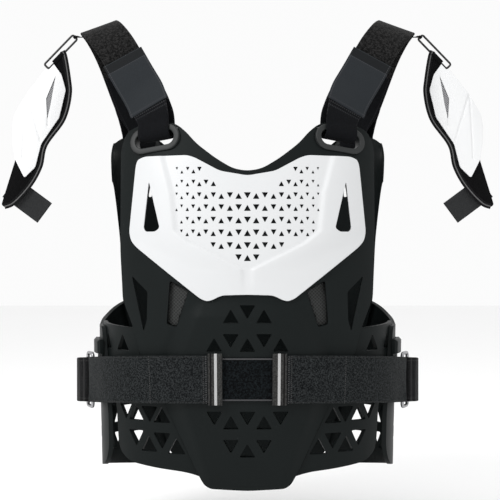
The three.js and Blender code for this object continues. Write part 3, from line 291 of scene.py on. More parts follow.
# A material with its nodes and the few ways in which they are joined here.
class Paint:
    def __init__(self, name, color, roughness, gloss=.5, metal=0.0):
        self.material = bpy.data.materials.new(name)
        self.material.use_nodes = True
        self.nodes, self.links = self.material.node_tree.nodes, self.material.node_tree.links
        self.shader = self.nodes["Principled BSDF"]
        self.shade({"Base Color": (*color, 1), "Roughness": roughness})
        self.shade({"Specular IOR Level": gloss, "Metallic": metal})
        self.place = self.nodes.new("ShaderNodeTexCoord").outputs

    # Inputs by name or number: a socket is linked, anything else is typed in.
    def fill(self, node, inputs):
        for key, value in inputs.items():
            if isinstance(value, bpy.types.NodeSocket):
                self.links.new(value, node.inputs[key])
            else:
                node.inputs[key].default_value = value
        return node.outputs

    def shade(self, inputs):
        self.fill(self.shader, inputs)

    def add(self, kind, inputs, **settings):
        node = self.nodes.new("ShaderNode" + kind)
        for key, value in settings.items():
            setattr(node, key, value)
        return self.fill(node, inputs)

    def maths(self, operation, *values):
        return self.add("Math", dict(enumerate(values)), operation=operation)[0]

    def noise(self, scale, detail, roughness=.5):
        inputs = {"Vector": self.place["Object"], "Scale": scale, "Detail": detail, "Roughness": roughness}
        return self.add("TexNoise", inputs)["Fac"]

    def spread(self, value, low, high, toLow=0.0, toHigh=1.0):
        inputs = {"Value": value, "From Min": low, "From Max": high, "To Min": toLow, "To Max": toHigh}
        return self.add("MapRange", inputs)["Result"]

    def mix(self, share, first, second):
        first, second = ((*color, 1) if isinstance(color, tuple) else color for color in (first, second))
        return self.add("Mix", {0: share, 6: first, 7: second}, data_type="RGBA")[2]

    def bump(self, height, strength, distance, invert=False, **inputs):
        inputs |= {"Height": height, "Strength": strength, "Distance": distance}
        self.shade({"Normal": self.add("Bump", inputs, invert=invert)["Normal"]})


# Moulded plastic: fine grain in the bump, broad patches in roughness and tone, softened edges.
def mouldedPlastic(name, look):
    paint = Paint(name, look["color"], look["roughness"], look["gloss"])
    patches = paint.noise(14.0, 4.0)
    edges = paint.add("Bevel", {"Radius": look["edge"]}, samples=4)
    paint.bump(paint.noise(look["grain"], 3.0), look["bump"], .0004, Normal=edges["Normal"])
    shaded = tuple(part * look["shade"] for part in look["color"])
    paint.shade({
        "Roughness": paint.spread(patches, .3, .7, look["roughness"] - .06, look["roughness"] + .06),
        "Base Color": paint.mix(patches, look["color"], shaded),
    })
    return paint.material


# Woven cloth on UVs in metres: ribs across and along, with loose fibre on top and rows of stitches.
# A row of stitches: the way it runs, its place, its pitch and width in mm, the share of thread, its colour.
def wovenCloth(name, look):
    paint = Paint(name, look["color"], look["roughness"], .1)
    paint.shade({"Sheen Weight": look["sheen"], "Sheen Roughness": .5})
    parts = paint.add("SeparateXYZ", {0: paint.place["UV"]})
    u, v = parts[0], parts[1]
    turn = 2000 * math.pi / look["pitch"]
    across = paint.maths("SINE", paint.maths("MULTIPLY", u, turn))
    along = paint.maths("SINE", paint.maths("MULTIPLY", v, turn / look["stretch"]))
    weave = paint.maths("MULTIPLY", paint.maths("MULTIPLY", across, along), look["weave"])
    fibre = paint.noise(look["fibre"], 5.0, .7)
    height = paint.maths("ADD", weave, paint.maths("MULTIPLY", fibre, look["nap"]))
    color = paint.mix(paint.spread(fibre, .44, .6), look["color"], look["light"])
    for way, at, pitch, width, share, thread in look.get("stitches", []):
        cross, run = (v, u) if way == "across" else (u, v)
        away = paint.maths("ABSOLUTE", paint.maths("SUBTRACT", cross, at / 1000))
        dash = paint.maths("FRACT", paint.maths("MULTIPLY", run, 1000 / pitch))
        inside = paint.maths("LESS_THAN", away, width / 2000)
        mask = paint.maths("MULTIPLY", inside, paint.maths("LESS_THAN", dash, share))
        height = paint.maths("ADD", height, paint.maths("MULTIPLY", mask, .8))
        color = paint.mix(mask, color, thread)
    paint.shade({"Base Color": color})
    paint.bump(height, look["bump"], .0006)
    return paint.material


# Open mesh cloth: square holes on a slanted grid, coloured dark as painted shade of what lies behind them,
# with a raised net between them.
def netCloth(name, look):
    paint = Paint(name, look["color"], .7)
    slant = (-math.pi / 2, 0, math.pi / 4)
    turned = paint.add("Mapping", {"Vector": paint.place["Object"], "Rotation": slant})
    cells = paint.add("TexVoronoi", {"Vector": turned["Vector"], "Scale": look["scale"], "Randomness": 0.0},
                      voronoi_dimensions="2D", distance="CHEBYCHEV")
    hole = paint.maths("LESS_THAN", cells["Distance"], look["hole"])
    # the holes carry painted shade: the dark of the hollow seen through them
    paint.shade({"Base Color": paint.mix(hole, look["color"], look["holeShade"])})
    paint.bump(hole, .6, .0005, invert=True)
    return paint.material


def wireMetal(name, look):
    paint = Paint(name, look["color"], look["roughness"], metal=look["metal"])
    scratches = paint.noise(260.0, 4.0)
    rough = paint.spread(scratches, .3, .7, look["roughness"] - .05, look["roughness"] + .12)
    paint.shade({"Roughness": rough})
    return paint.material


shellBlack = mouldedPlastic("moulded black", {
    "color": (.0042, .0058, .0058), "roughness": .48, "gloss": .1, "grain": 900.0, "bump": .25, "edge": .0009,
    "shade": 1.5,
})
plateWhite = mouldedPlastic("satin white plate", {
    "color": (.6, .608, .615), "roughness": .42, "gloss": .45, "grain": 500.0, "bump": .05, "edge": .0009,
    "shade": .97,
})
bezelGrey = mouldedPlastic("grey slot moulding", {
    "color": (.013, .0145, .0145), "roughness": .5, "gloss": .35, "grain": 900.0, "bump": .15, "edge": .0005,
    "shade": 1.2,
})
guardWhite = mouldedPlastic("white guard shell", {
    "color": (.74, .745, .75), "roughness": .45, "gloss": .4, "grain": 500.0, "bump": .05, "edge": .0005,
    "shade": .97,
})
steelWire = wireMetal("bright wire", {"color": (.33, .33, .34), "roughness": .3, "metal": 1.0})
blackWire = wireMetal("black wire", {"color": (.003, .003, .003), "roughness": .4, "metal": 0.0})
# vent net: its holes are painted near-black, painted shade of the hollow behind the slot
ventNet = netCloth("black vent net", {
    "color": (.032, .036, .034), "holeShade": (.0003, .0003, .0003), "scale": 370.0, "hole": .4,
})
# guard net: its holes are painted dark grey, partly the black backing behind and partly painted shade
guardNet = netCloth("grey guard net", {
    "color": (.3, .3, .31), "holeShade": (.05, .05, .052), "scale": 520.0, "hole": .32,
})
print("materials ready")

# Front shell
frontLook = {
    "outline": [
        (0, .134), (.11, .127), (.24, .099), (.39, .057), (.47, .024), (.54, .003), (.62, -.006),
        (.84, .002), (.94, .018), (.99, .06), (.985, .35), (.96, .486), (.865, .57), (.815, .64),
        (.62, .771), (.47, .884), (.375, .957), (.33, .985), (.285, .995), (0, 1),
    ],
    "corner": 9, "bellyRise": 4.5, "bellyBevel": 17, "ventSide": 17.3, "ventPitch": 36, "ventRow": 15.5,
    "ventCorner": 1.6, "bellyEdge": [(0, .3), (.49, .31), (.62, .46), (.7, .5), (.78, .44), (1, .24)],
    "plateFoot": .487, "columns": 170, "rows": 190, "reach": 76,
    "groove": (1.3, 21, 4.5), "spine": (.9, 9), "thinning": (.8, 62, 72),
}
slotShapes = {
    "teardrop": [(.752, .162), (.79, .289), (.775, .299), (.7, .299), (.665, .289)],
    "dagger": [(.885, .42), (.76, .463), (.765, .54), (.79, .572)],
    "meshSlot": [(.585, .432), (.44, .458), (.535, .558), (.61, .55)],
}
ventGroups = [  # how far down the group starts, then each pocket's column, row and pointing
    (.51, [(0, 0, -1), (-1, .6, 1), (1, .6, 1), (-1, 2, -1), (1, 2, -1),
           (-2, 2.6, 1), (0, 2.6, 1), (2, 2.6, 1)]),
    (.796, [(-2, 0, -1), (0, 0, -1), (2, 0, -1), (-1, .6, 1), (1, .6, 1),
            (-1, 2, -1), (1, 2, -1), (0, 2.6, 1)]),
]
slotFrames = {  # right side: middle, right, normal
    "front": [(102, -86.34, -139.18), (.9277, .3476, -.1362), (.3696, -.9065, .2043)],
    "back": [(134, 65.2, -139.57), (-.7794, .6111, .1384), (.6252, .7731, .107)],
}


# A slot's frame on either side: the left one is the right one's mirror image, with its right turned back.
def slotFrame(facing, side):
    middle, right, normal = (np.array(v) * [side, 1, 1] for v in slotFrames[facing])
    right = right * side
    return middle, right, np.cross(normal, right), normal


def stadium(width, height, steps=14):
    turn = np.radians(np.linspace(-90, 90, steps + 1))
    right = np.stack([(width - height) / 2 + height / 2 * np.cos(turn), height / 2 * np.sin(turn)], -1)
    return np.concatenate([right, -right])


# The same small opening on both sides, its corners rounded.
def openingPair(figure, facing=-1):
    return [throughFront(mirrored(rounded(figure, 2.5), side), facing) for side in (-1, 1)]


def slotHole(facing, side, width=60.7, height=30.7, reach=24):
    middle, right, up, normal = slotFrame(facing, side)
    return (stadium(width, height), middle, right, up, -reach, reach)


def ventHoles(groups, facing=-1):
    holes = []
    for down, marks in groups:
        for column, row, pointing in marks:
            place = [column * frontLook["ventPitch"] / 2, heightAt(down) - row * frontLook["ventRow"]]
            figure = rounded(triangle(frontLook["ventSide"], pointing), frontLook["ventCorner"], 3)
            holes.append(throughFront(figure + place, facing))
    return holes


# Raised belly panel: full inside its edge, falling off over the bevel, from the plate's foot down;
# a groove runs beside the panel, a low spine joins the pocket groups, and the wall thins at the sides.
def shellOffset(turn, z, base):
    x, down = base[..., 0], shareAt(z)
    rows = np.array(frontLook["bellyEdge"])
    edge = np.interp(down, rows[:, 0], rows[:, 1]) * shellHalf
    fade = np.clip((down - frontLook["plateFoot"]) * body["height"] / frontLook["bellyBevel"], 0, 1)
    side = smooth(1 - (abs(x) - edge) / frontLook["bellyBevel"], 0, 1)
    rise = frontLook["bellyRise"] * fade * side
    depth, away, spread = frontLook["groove"]
    groove = depth * np.exp(-((abs(x) - edge - away) / spread) ** 2) * fade
    height, spread = frontLook["spine"]
    spine = height * np.exp(-(x / spread) ** 2) * smooth(down, .56, .62) * (1 - smooth(down, .74, .8))
    loss, start, end = frontLook["thinning"]
    return wallDepth + rise - groove + spine - loss * smooth(abs(turn), start, end)


front = bodyWall(
    "front shell", np.linspace(-frontLook["reach"], frontLook["reach"], frontLook["columns"]),
    heightAt(np.linspace(-.03, 1.03, frontLook["rows"])), 0, shellOffset, shellBlack,
)
frontHoles = [slotHole("front", side) for side in (-1, 1)]
for rows in slotShapes.values():
    frontHoles += openingPair(onShell(rows))
figure = rounded(bothHalves(frontLook["outline"]), frontLook["corner"])
carve(front, [throughFront(figure)], frontHoles + ventHoles(ventGroups))
shadeByAngle(front)
finishPiece(front)
print("front shell", len(front.data.polygons))

netLook = {"offsets": (.6, 1.8), "inset": .7}
for name, side in sides.items():
    figure = onShell(slotShapes["meshSlot"])
    spokes = figure - figure.mean(0)
    figure = figure.mean(0) + spokes * (1 - netLook["inset"] / np.linalg.norm(spokes, axis=1, keepdims=True))
    heights = heightAt(np.linspace(.4, .6, 30))[::side]
    net = bodyWall("vent mesh " + name, np.linspace(18, 48, 24) * side, heights, *netLook["offsets"], ventNet)
    carve(net, [throughFront(mirrored(figure, side))], [])
    finishPiece(net)

# Chest plate
plateLook = {
    "outline": [
        (0, .147), (.21, .134), (.4, .097), (.46, .09), (.79, .092), (.845, .1), (.86, .116), (.908, .3),
        (.892, .324), (.85, .341), (.35, .481), (.3, .487), (.26, .483), (.195, .471), (0, .469),
    ],
    "ridge": [(.08, .68), (.2, .59), (.3, .56), (.333, .45), (.403, .06), (.5, .06)], "wall": 2.6,
    "foot": .487, "ridgeRise": 3, "seat": 8.35, "columns": 230, "rows": 150, "reach": 66,
    "holeColumns": [0, 9.6, 19.1, 28.5, 37.2, 45.3, 52.7, 59.3, 65.7, 72.1, 77.7, 82.8],
    "holeRows": [
        (-174.3, 6, 10), (-188.6, 4, 10), (-202.6, 0, 10), (-215.8, 0, 10), (-229.4, 0, 9), (-243.3, 0, 9),
        (-257.2, 0, 4), (-270.4, 0, 1),
    ],
    "holeSide": 7.6, "holeCorner": .5, "holeBand": 7.2, "ridgeWidth": 7, "cheek": (.82, 52), "brow": .9,
}


# White plate: a sunken field inside the ridge lines, a raised edge along them, cheeks outside that fall
# a little towards the outline, and a low brow along the top.
def plateOffset(turn, z, base):
    x, down = abs(base[..., 0]), shareAt(z)
    rows = np.array(plateLook["ridge"])
    edge = np.interp(down, rows[:, 0], rows[:, 1]) * shellHalf
    fade = 1 - smooth(down, .36, plateLook["foot"])
    fall, width = plateLook["cheek"]
    cheek = 1 - fall * smooth(x, edge, edge + width)
    raised = smooth(x, edge - plateLook["ridgeWidth"], edge) * cheek * plateLook["ridgeRise"] * fade
    brow = plateLook["brow"] * (1 - smooth(down, .1, .165))
    return plateLook["seat"] + plateLook["wall"] + raised + brow * (1 - smooth(x, 60, 90))


plate = bodyWall(
    "chest plate", np.linspace(-plateLook["reach"], plateLook["reach"], plateLook["columns"]),
    heightAt(np.linspace(.07, .5, plateLook["rows"])), plateLook["seat"], plateOffset, plateWhite,
)
plateHoles = openingPair(onShell(slotShapes["teardrop"]))
for row, (z, first, last) in enumerate(plateLook["holeRows"]):
    for column in range(-last, last + 1):
        if abs(column) < first:
            continue
        x = math.copysign(plateLook["holeColumns"][abs(column)], column)
        pointing = 1 if (row + column) % 2 else -1
        size = plateLook["holeSide"] * (1 - .042 * abs(column) - .03 * max(abs(column) - 6, 0))
        figure = triangle(size, pointing) * [1 - .02 * abs(column), 1]
        # bases line up along each row
        figure[:, 1] -= pointing * (plateLook["holeBand"] / 2 - size * math.sqrt(3) / 6)
        plateHoles.append(throughFront(rounded(figure, plateLook["holeCorner"], 2) + [x, z]))
carve(plate, [throughFront(rounded(bothHalves(plateLook["outline"]), 5))], plateHoles)
shadeByAngle(plate)
finishPiece(plate)
print("chest plate", len(plate.data.polygons))

# Wings: pierced panels round the sides
wingLook = {"wall": 4.5, "height": 156, "side": 21, "pitch": 33, "row": 17, "corner": 2, "rim": .565,
            "tilt": 55, "rearSeat": 4.85, "holeReach": 14, "seamGap": .35,
            "rearSeam": [(.93, .5), (.9, .56), (.82, .68), (.68, .85), (.6, .97)]}


def throughSide(figure, turn, side):
    angle = math.radians(turn) * side
    right = np.array([math.cos(angle), math.sin(angle), 0])
    return (mirrored(figure, side), (0, 0, 0), right, (0, 0, 1), 0, 330)


# Rows of triangles round the wall, each cut square to it: the next one lies a pitch further round.
# A row has its first and last turn, top, slope and offset, then its lines: row, pointing, first place.
def trussHoles(side, rows):
    holes, reach = [], wingLook["holeReach"]
    for start, end, top, slope, offset, kinds in rows:
        turns = np.arange(start, end, 1.0)
        for row, pointing, shift in kinds:
            z0 = top - row * wingLook["row"]
            path = bodyPoint(side * turns, z0 + slope * (turns - start), offset)
            run = np.linalg.norm(path - path[0], axis=1)
            for place in np.arange(shift, 8) * wingLook["pitch"]:
                if place > run[-1]:
                    break
                turn = np.interp(place, run, turns)
                z = z0 + slope * (turn - start)
                normal = outwardAt(side * turn, z)
                right = unit(np.cross((0, 0, 1), normal))
                figure = rounded(triangle(wingLook["side"], pointing), wingLook["corner"], 3)
                middle = bodyPoint(side * turn, z, offset)
                holes.append((figure, middle, right, np.cross(normal, right), -reach, reach))
    return holes


# What lies inside a shell's edge, so that a wing stops beside it.
def seamFigure(rows, half, side, far=40):
    edge = onShell(rows, half) + [wingLook["seamGap"], 0]
    first, last = edge[0], edge[-1]
    above = [(0, first[1] + far), (first[0] + far / 4, first[1] + far)]
    below = [(last[0] - far / 4, last[1] - far), (0, last[1] - far)]
    return mirrored([*above, *edge, *below], side)


rim = heightAt(wingLook["rim"])
foot = rim - wingLook["height"]
for name, side in sides.items():
    turns, heights = side * np.linspace(16, 88, 70), heightAt(np.linspace(.54, 1.01, 70))[::side]
    wing = bodyWall("front wing " + name, turns, heights, 0, wingLook["wall"], shellBlack)
    outline = [
        (-90, rim - 2), (0, rim + 1), (90, rim + 5), (92, rim - 26), (62, rim - 42), (31, rim - 78),
        (28, rim - 92), (27, foot + 29), (24, foot + 18), (16, foot + 11), (6, foot + 6), (-24, foot + 2),
        (-50, foot - 1), (-62, foot - 5), (-76, foot - 17), (-90, foot - 20),
    ]
    truss = trussHoles(side, [
        (60, 80, rim - 19, 0, 2.2, [(0, 1, 0)]),
        (42, 62, rim - 92, .1, 2.2, [(0, -1, .45), (.3, 1, 0)]),
        (36, 60, rim - 121, .1, 2.2, [(0, -1, .5), (.6, 1, 0)]),
    ])
    seam = throughFront(seamFigure(frontLook["outline"][11:18], shellHalf, side))
    carve(wing, [throughSide(rounded(outline, 8), wingLook["tilt"], side)], [seam] + truss)
    shadeByAngle(wing)
    finishPiece(wing)

    turns, heights = side * np.linspace(64, 144, 80), heightAt(np.linspace(.48, 1.03, 80))[::side]
    seat = wingLook["rearSeat"]
    rear = bodyWall("back wing " + name, turns, heights, seat, seat + wingLook["wall"], shellBlack)
    outline = [
        (-48, rim), (-10, rim), (30, rim + 9.6), (64, rim + 24), (130, rim + 48), (130, foot - 34),
        (75, foot - 22), (0, foot - 10), (-42, foot - 4), (-53, foot + 4), (-60, foot + 18),
        (-62, rim - 100), (-58, rim - 60),
    ]
    truss = trussHoles(side, [
        (84, 122, rim - 104, -.2, 7.1, [(0, -1, .5), (.5, 1, 0)]),
        (84, 124, rim - 136, -.2, 7.1, [(0, -1, 0), (.5, 1, .5)]),
    ])
    seam = throughFront(seamFigure(wingLook["rearSeam"], backHalf, side), 1)
    carve(rear, [throughSide(rounded(outline, 8), 90, side)], [seam] + truss)
    shadeByAngle(rear)
    finishPiece(rear)
print("wings")

# Back shell
backLook = {
    "pocketFloor": 109, "channel": (1.2, 26, 6),
    "outline": [
        (0, .15), (.2, .14), (.4, .1), (.58, .045), (.66, .012), (.74, .004), (.9, .007), (.945, .02),
        (.972, .04), (.985, .07), (.982, .12), (.945, .32), (.93, .5), (.9, .56), (.82, .68), (.68, .85),
        (.6, .97), (.52, 1.01), (0, 1.02),
    ],
    "slot": [(.735, .14), (.752, .178), (.75, .185), (.728, .185), (.726, .178)],
}


# Plain back: a soft spine with a channel on each side.
def backOffset(turn, z, base):
    x, down = base[..., 0], shareAt(z)
    length = smooth(down, .16, .26) * (1 - smooth(down, .9, 1))
    depth, away, spread = backLook["channel"]
    return wallDepth - depth * np.exp(-((abs(x) - away) / spread) ** 2) * length


back = bodyWall("back shell", np.linspace(78, 282, 190), heightAt(np.linspace(-.03, 1.06, 170)),
                0, backOffset, shellBlack)
backHoles = [slotHole("back", side) for side in (-1, 1)]
backHoles += openingPair(onShell(backLook["slot"], backHalf), 1)
# the pockets stop short of the inner face
pockets = [(*hole[:4], backLook["pocketFloor"], hole[5]) for hole in ventHoles(ventGroups[:1], 1)]
carve(back, [throughFront(rounded(bothHalves(backLook["outline"], backHalf), 9), 1)], backHoles + pockets)
shadeByAngle(back)
finishPiece(back)
print("back shell", len(back.data.polygons))

# Bands and wires: sections carried along a path


# Hermite curve through rows of numbers, with slopes from the rows on either side, at even steps of the
# length of its first three numbers.
def alongRows(rows, count):
    rows = np.asarray(rows, float)
    knots = np.r_[0, np.cumsum(np.linalg.norm(np.diff(rows[:, :3], axis=0), axis=1) ** .5)]
    slopes = np.gradient(rows, knots, axis=0)

    def at(t):
        i = np.clip(np.searchsorted(knots, t, "right") - 1, 0, len(knots) - 2)
        run = (knots[i + 1] - knots[i])[:, None]
        share = (t - knots[i])[:, None] / run
        return hermite(share, rows[i], rows[i + 1], run * slopes[i], run * slopes[i + 1])

    fine = np.linspace(0, knots[-1], 1200)
    length = np.r_[0, np.cumsum(np.linalg.norm(np.diff(at(fine)[:, :3], axis=0), axis=1))]
    places = np.linspace(0, length[-1], count)
    return at(np.interp(places, length, fine)), places


# Points across each flat face and round each edge of a band's section, and in all.
flatSteps, edgeSteps = 15, 5
bandRing = 2 * (flatSteps + edgeSteps)


# Closed band: a flat section with round edges is carried along the stations, its ends closed.
def makeBand(name, points, across, width, thick, material, turned=1):
    points, across = np.asarray(points, float), unit(across)
    count = len(points)
    ahead = unit(np.gradient(points, axis=0))
    across = unit(across - ahead * np.sum(across * ahead, -1, keepdims=True))
    out = np.cross(across, ahead) * turned
    run = np.r_[0, np.cumsum(np.linalg.norm(np.diff(points, axis=0), axis=1))]
    flat, one = np.linspace(-1, 1, flatSteps), np.ones(flatSteps)
    edge = np.radians(np.linspace(90, -90, edgeSteps + 2)[1:-1])
    x = np.concatenate([flat, np.ones(edgeSteps), flat[::-1], -np.ones(edgeSteps)])
    bulge = np.concatenate([0 * flat, np.cos(edge), 0 * flat, -np.cos(edge)])
    lift = np.concatenate([one, np.sin(edge), -one, -np.sin(edge)]) * thick / 2
    half = np.broadcast_to(np.asarray(width, float), (count,))[:, None] / 2 - thick / 2
    reach = x[None] * half + bulge[None] * thick / 2
    grid = points[:, None] + across[:, None] * reach[..., None] + out[:, None] * lift[None, :, None]
    faces = tubeFaces(count, bandRing)[:-bandRing].tolist()
    faces += [list(range(bandRing))[::-1], list(range((count - 1) * bandRing, count * bandRing))]
    uv = np.stack([reach / 1000, np.broadcast_to(run[:, None] / 1000, reach.shape)], -1).reshape(-1, 2)
    return makePiece(name, grid.reshape(-1, 3), faces, material, uv)


# Closed wire: a circle carried round a closed loop of points, kept square to the loop's plane.
def makeWire(name, loop, normal, radius, material, facets=14):
    loop, normal = np.asarray(loop, float), unit(normal)
    ahead = unit(np.roll(loop, -1, 0) - np.roll(loop, 1, 0))
    away = np.cross(ahead, normal)
    angle = np.linspace(0, 2 * math.pi, facets, endpoint=False)[None, :, None]
    grid = loop[:, None] + radius * (np.cos(angle) * away[:, None] + np.sin(angle) * normal)
    return makePiece(name, grid.reshape(-1, 3), tubeFaces(len(loop), facets), material)


def roundedLoop(width, height, corner, steps=6):
    turn = np.radians(np.linspace(0, 90, steps + 1))
    corners = [(1, 1, 0), (-1, 1, 90), (-1, -1, 180), (1, -1, 270)]
    return np.concatenate([
        np.stack([sx * (width / 2 - corner) + corner * np.cos(turn + math.radians(start)),
                  sy * (height / 2 - corner) + corner * np.sin(turn + math.radians(start))], -1)
        for sx, sy, start in corners
    ])


# Slot mouldings: a section with rounded corners, deeper than it is wide, carried round each slot
bezelLook = {"width": 60, "height": 30, "wall": 6.5, "depth": 12, "round": 1.3}
for facing in ("front", "back"):
    for name, side in sides.items():
        middle, right, up, normal = slotFrame(facing, side)
        wall = bezelLook["wall"]
        line = stadium(bezelLook["width"] - wall, bezelLook["height"] - wall, 24)
        away = unit(np.roll(line, 1, 0) - np.roll(line, -1, 0))[:, ::-1] * [-1, 1]
        section = roundedLoop(wall, bezelLook["depth"], bezelLook["round"], 5)
        flat = line[:, None] + away[:, None] * section[None, :, :1]
        grid = middle + flat[..., :1] * right + flat[..., 1:] * up + section[None, :, 1:] * normal
        faces = tubeFaces(*grid.shape[:2])
        ring = makePiece(f"slot ring {facing} {name}", grid.reshape(-1, 3), faces, bezelGrey)
        finishPiece(ring)

# Shoulder straps, right side: place, direction across, share of the full width
strapLook = {
    "width": 45, "thick": 2.3, "count": 260, "plushFrom": -46,
    "rows": [
        (142.6, -57, -42.4, -.87, .05, .49, 1), (132.6, -62.7, -59.8, -.87, .04, .49, 1),
        (122.2, -67.7, -77.2, -.84, .03, .54, 1), (117.1, -72, -85.6, -.83, -.04, .56, 1),
        (112.8, -77.9, -94.3, -.82, -.14, .55, .99), (109.4, -83.5, -103.3, -.83, -.23, .51, .94),
        (106.7, -87.3, -111.5, -.87, -.29, .39, .88), (105.3, -89.2, -118.9, -.93, -.36, .1, .84),
        (105.5, -91.8, -129.3, -.93, -.35, .14, .84), (104.9, -91.8, -133.5, -.93, -.35, .14, .84),
        (103.6, -89.8, -137, -.93, -.35, .14, .84), (102, -86.3, -138.9, -.93, -.35, .14, .84),
        (100.5, -82.3, -138.7, -.93, -.35, .14, .84), (99.6, -78.8, -136.4, -.93, -.35, .14, .84),
        (99.4, -76.8, -132.6, -.93, -.35, .14, .84), (99.2, -74.3, -122.6, -.93, -.36, .1, .84),
        (101, -71.9, -112.7, -.87, -.29, .39, .88), (105.5, -70.1, -103.6, -.83, -.23, .51, .94),
        (110.8, -68.5, -94.8, -.82, -.14, .55, .99), (116.4, -66.8, -86.3, -.83, -.04, .56, 1),
        (122, -64.9, -77.8, -.84, .03, .54, 1), (132.3, -60, -60.5, -.87, .04, .49, 1),
        (142.3, -54.4, -43.2, -.87, .05, .49, 1), (152.4, -47.1, -26.7, -.85, .09, .51, 1),
        (163.1, -36.5, -12.5, -.83, .17, .53, 1), (172.2, -21.1, -2.4, -.89, .19, .42, 1),
        (176.9, -1.4, 1.2, -.94, .06, .34, 1), (173.3, 18, -3.6, -.91, -.1, .4, 1),
        (165.8, 30.8, -17.7, -.91, -.04, .41, 1), (158.4, 38.6, -35.4, -.94, 0, .35, 1),
        (155, 41.3, -44.8, -.94, 0, .34, 1), (151.6, 43.7, -54.3, -.94, 0, .33, 1),
        (148.2, 45.8, -63.9, -.94, 0, .34, 1), (144.7, 47.9, -73.4, -.93, .03, .36, 1),
        (141, 49.6, -82.9, -.91, .15, .39, 1), (137.1, 51.1, -92.4, -.86, .32, .39, .99),
        (133.5, 52.5, -102, -.8, .48, .35, .94), (130.4, 53.9, -111.8, -.77, .58, .28, .88),
        (129.1, 55.6, -121.9, -.78, .61, .12, .84), (129.2, 57.4, -132.1, -.78, .61, .14, .84),
        (129.7, 58.9, -136, -.78, .61, .14, .84), (131.5, 61.8, -138.7, -.78, .61, .14, .84),
        (134, 65.2, -139.3, -.78, .61, .14, .84), (136.6, 68.2, -137.8, -.78, .61, .14, .84),
        (138.6, 70, -134.5, -.78, .61, .14, .84), (139.5, 70.1, -130.3, -.78, .61, .14, .84),
        (139.5, 68.3, -119.8, -.78, .61, .12, .84), (140.2, 67.1, -112.1, -.77, .58, .28, .88),
        (140.4, 64.6, -102.7, -.8, .48, .35, .94), (140.5, 60.1, -92.4, -.86, .32, .39, .99),
        (142, 54.8, -82.4, -.91, .15, .39, 1),
    ],
    "tabWidth": 49, "tabThick": 1.4, "tabGap": .4,
    "tabRows": [
        (109.4, -83.5, -103.3, -.83, -.23, .51), (112.8, -77.9, -94.3, -.82, -.14, .55),
        (117.1, -72, -85.6, -.83, -.04, .56), (122.2, -67.7, -77.2, -.84, .03, .54),
        (127.5, -65.2, -68.5, -.87, .04, .5), (132.6, -62.7, -59.8, -.87, .04, .49),
        (137.6, -60, -51.1, -.87, .04, .49), (142.6, -57, -42.4, -.87, .05, .49),
    ],
}
plush = wovenCloth("brushed strap", {
    "color": (.001, .001, .001), "light": (.018, .0175, .0175), "roughness": .95, "sheen": .05,
    "pitch": 1.6, "stretch": 1.3, "weave": .12, "nap": 1.0, "fibre": 420.0, "bump": 1.0,
})
webbing = wovenCloth("strap webbing", {
    "color": (.0012, .0014, .002), "light": (.004, .0045, .006), "roughness": .85, "sheen": .02,
    "pitch": 1.5, "stretch": .8, "weave": .5, "nap": .2, "fibre": 900.0, "bump": .5,
    "stitches": [
        ("along", 19.5, 3, .8, .7, (.014, .014, .016)), ("across", 76, 2.6, 1.8, .5, (.035, .036, .038)),
        ("across", 80, 2.2, 1.6, .5, (.024, .025, .027)), ("along", -19.5, 3, .8, .7, (.014, .014, .016)),
    ],
})
tabCloth = wovenCloth("smooth tab", {
    "color": (.014, .0165, .019), "light": (.019, .022, .0255), "roughness": .7, "sheen": .02, "pitch": .9,
    "stretch": 1, "weave": .12, "nap": .1, "fibre": 1400.0, "bump": .25,
    "stitches": [
        ("along", 22.4, 2.6, .7, .7, (.045, .045, .048)),
        ("across", 68.5, 200, 10, 1.1, (.0075, .0085, .0095)),
        ("across", 62.6, 2.4, .8, .65, (.035, .036, .04)), ("across", 3, 2.4, .8, .65, (.035, .036, .04)),
        ("along", -22.4, 2.6, .7, .7, (.045, .045, .048)),
    ],
})
for name, side in sides.items():
    flip = np.array([side, 1, 1, side, 1, 1, 1])
    rows, run = alongRows(np.array(strapLook["rows"]) * flip, strapLook["count"])
    width = rows[:, 6] * strapLook["width"]
    strap = makeBand("shoulder strap " + name, rows[:, :3], rows[:, 3:6], width, strapLook["thick"], plush)
    strap.data.materials.append(webbing)
    lowest = int(np.argmin(rows[:strapLook["count"] // 2, 2]))
    isWebbing = (np.arange(strapLook["count"] - 1) < lowest) | (rows[:-1, 2] < strapLook["plushFrom"])
    kinds = np.append(np.repeat(isWebbing, bandRing), [1, 1]).astype(int)
    strap.data.polygons.foreach_set("material_index", kinds)
    finishPiece(strap)

    rows, run = alongRows(np.array(strapLook["tabRows"]) * flip[:6], 60)
    line, across = rows[:, :3], rows[:, 3:]
    out = unit(np.cross(unit(across), unit(np.gradient(line, axis=0))))
    out *= -np.sign(out[:, 1:2])
    line = line + out * ((strapLook["thick"] + strapLook["tabThick"]) / 2 + strapLook["tabGap"])
    tab = makeBand("strap tab " + name, line, across, strapLook["tabWidth"], strapLook["tabThick"], tabCloth)
    finishPiece(tab)
print("straps")

# Belt: plush base, two flaps folded round wire rings, and the rear strap from ring to ring
beltLook = {
    "drop": 403.5, "sink": .1, "width": 52, "wall": 2.2, "baseHalf": 62, "flapInset": 27, "flapTurn": 72,
    "flapRun": 25, "flapReturn": 108, "ringWire": 4, "ringHeight": 62, "ringLength": 20, "gap": .35,
    "reach": 203, "pullLength": 15, "pullWall": 1.6, "pullOver": 4, "baseInset": 5,
    "rearGap": .2, "rear": [(.985, .1), (1, .34), (.95, .63), (.78, .88), (.5, .97), (.25, 1)],
}
beltWidth, beltWall, beltGap = beltLook["width"], beltLook["wall"], beltLook["gap"]
beltSeat = wallDepth + frontLook["bellyRise"] + beltGap + beltWall / 2
flapSeat = beltSeat + beltWall + beltGap
wrapRadius = beltLook["ringWire"] / 2 + beltGap + beltWall / 2


def beltHeight(y):
    return -beltLook["drop"] - beltLook["sink"] * (y + body["front"])


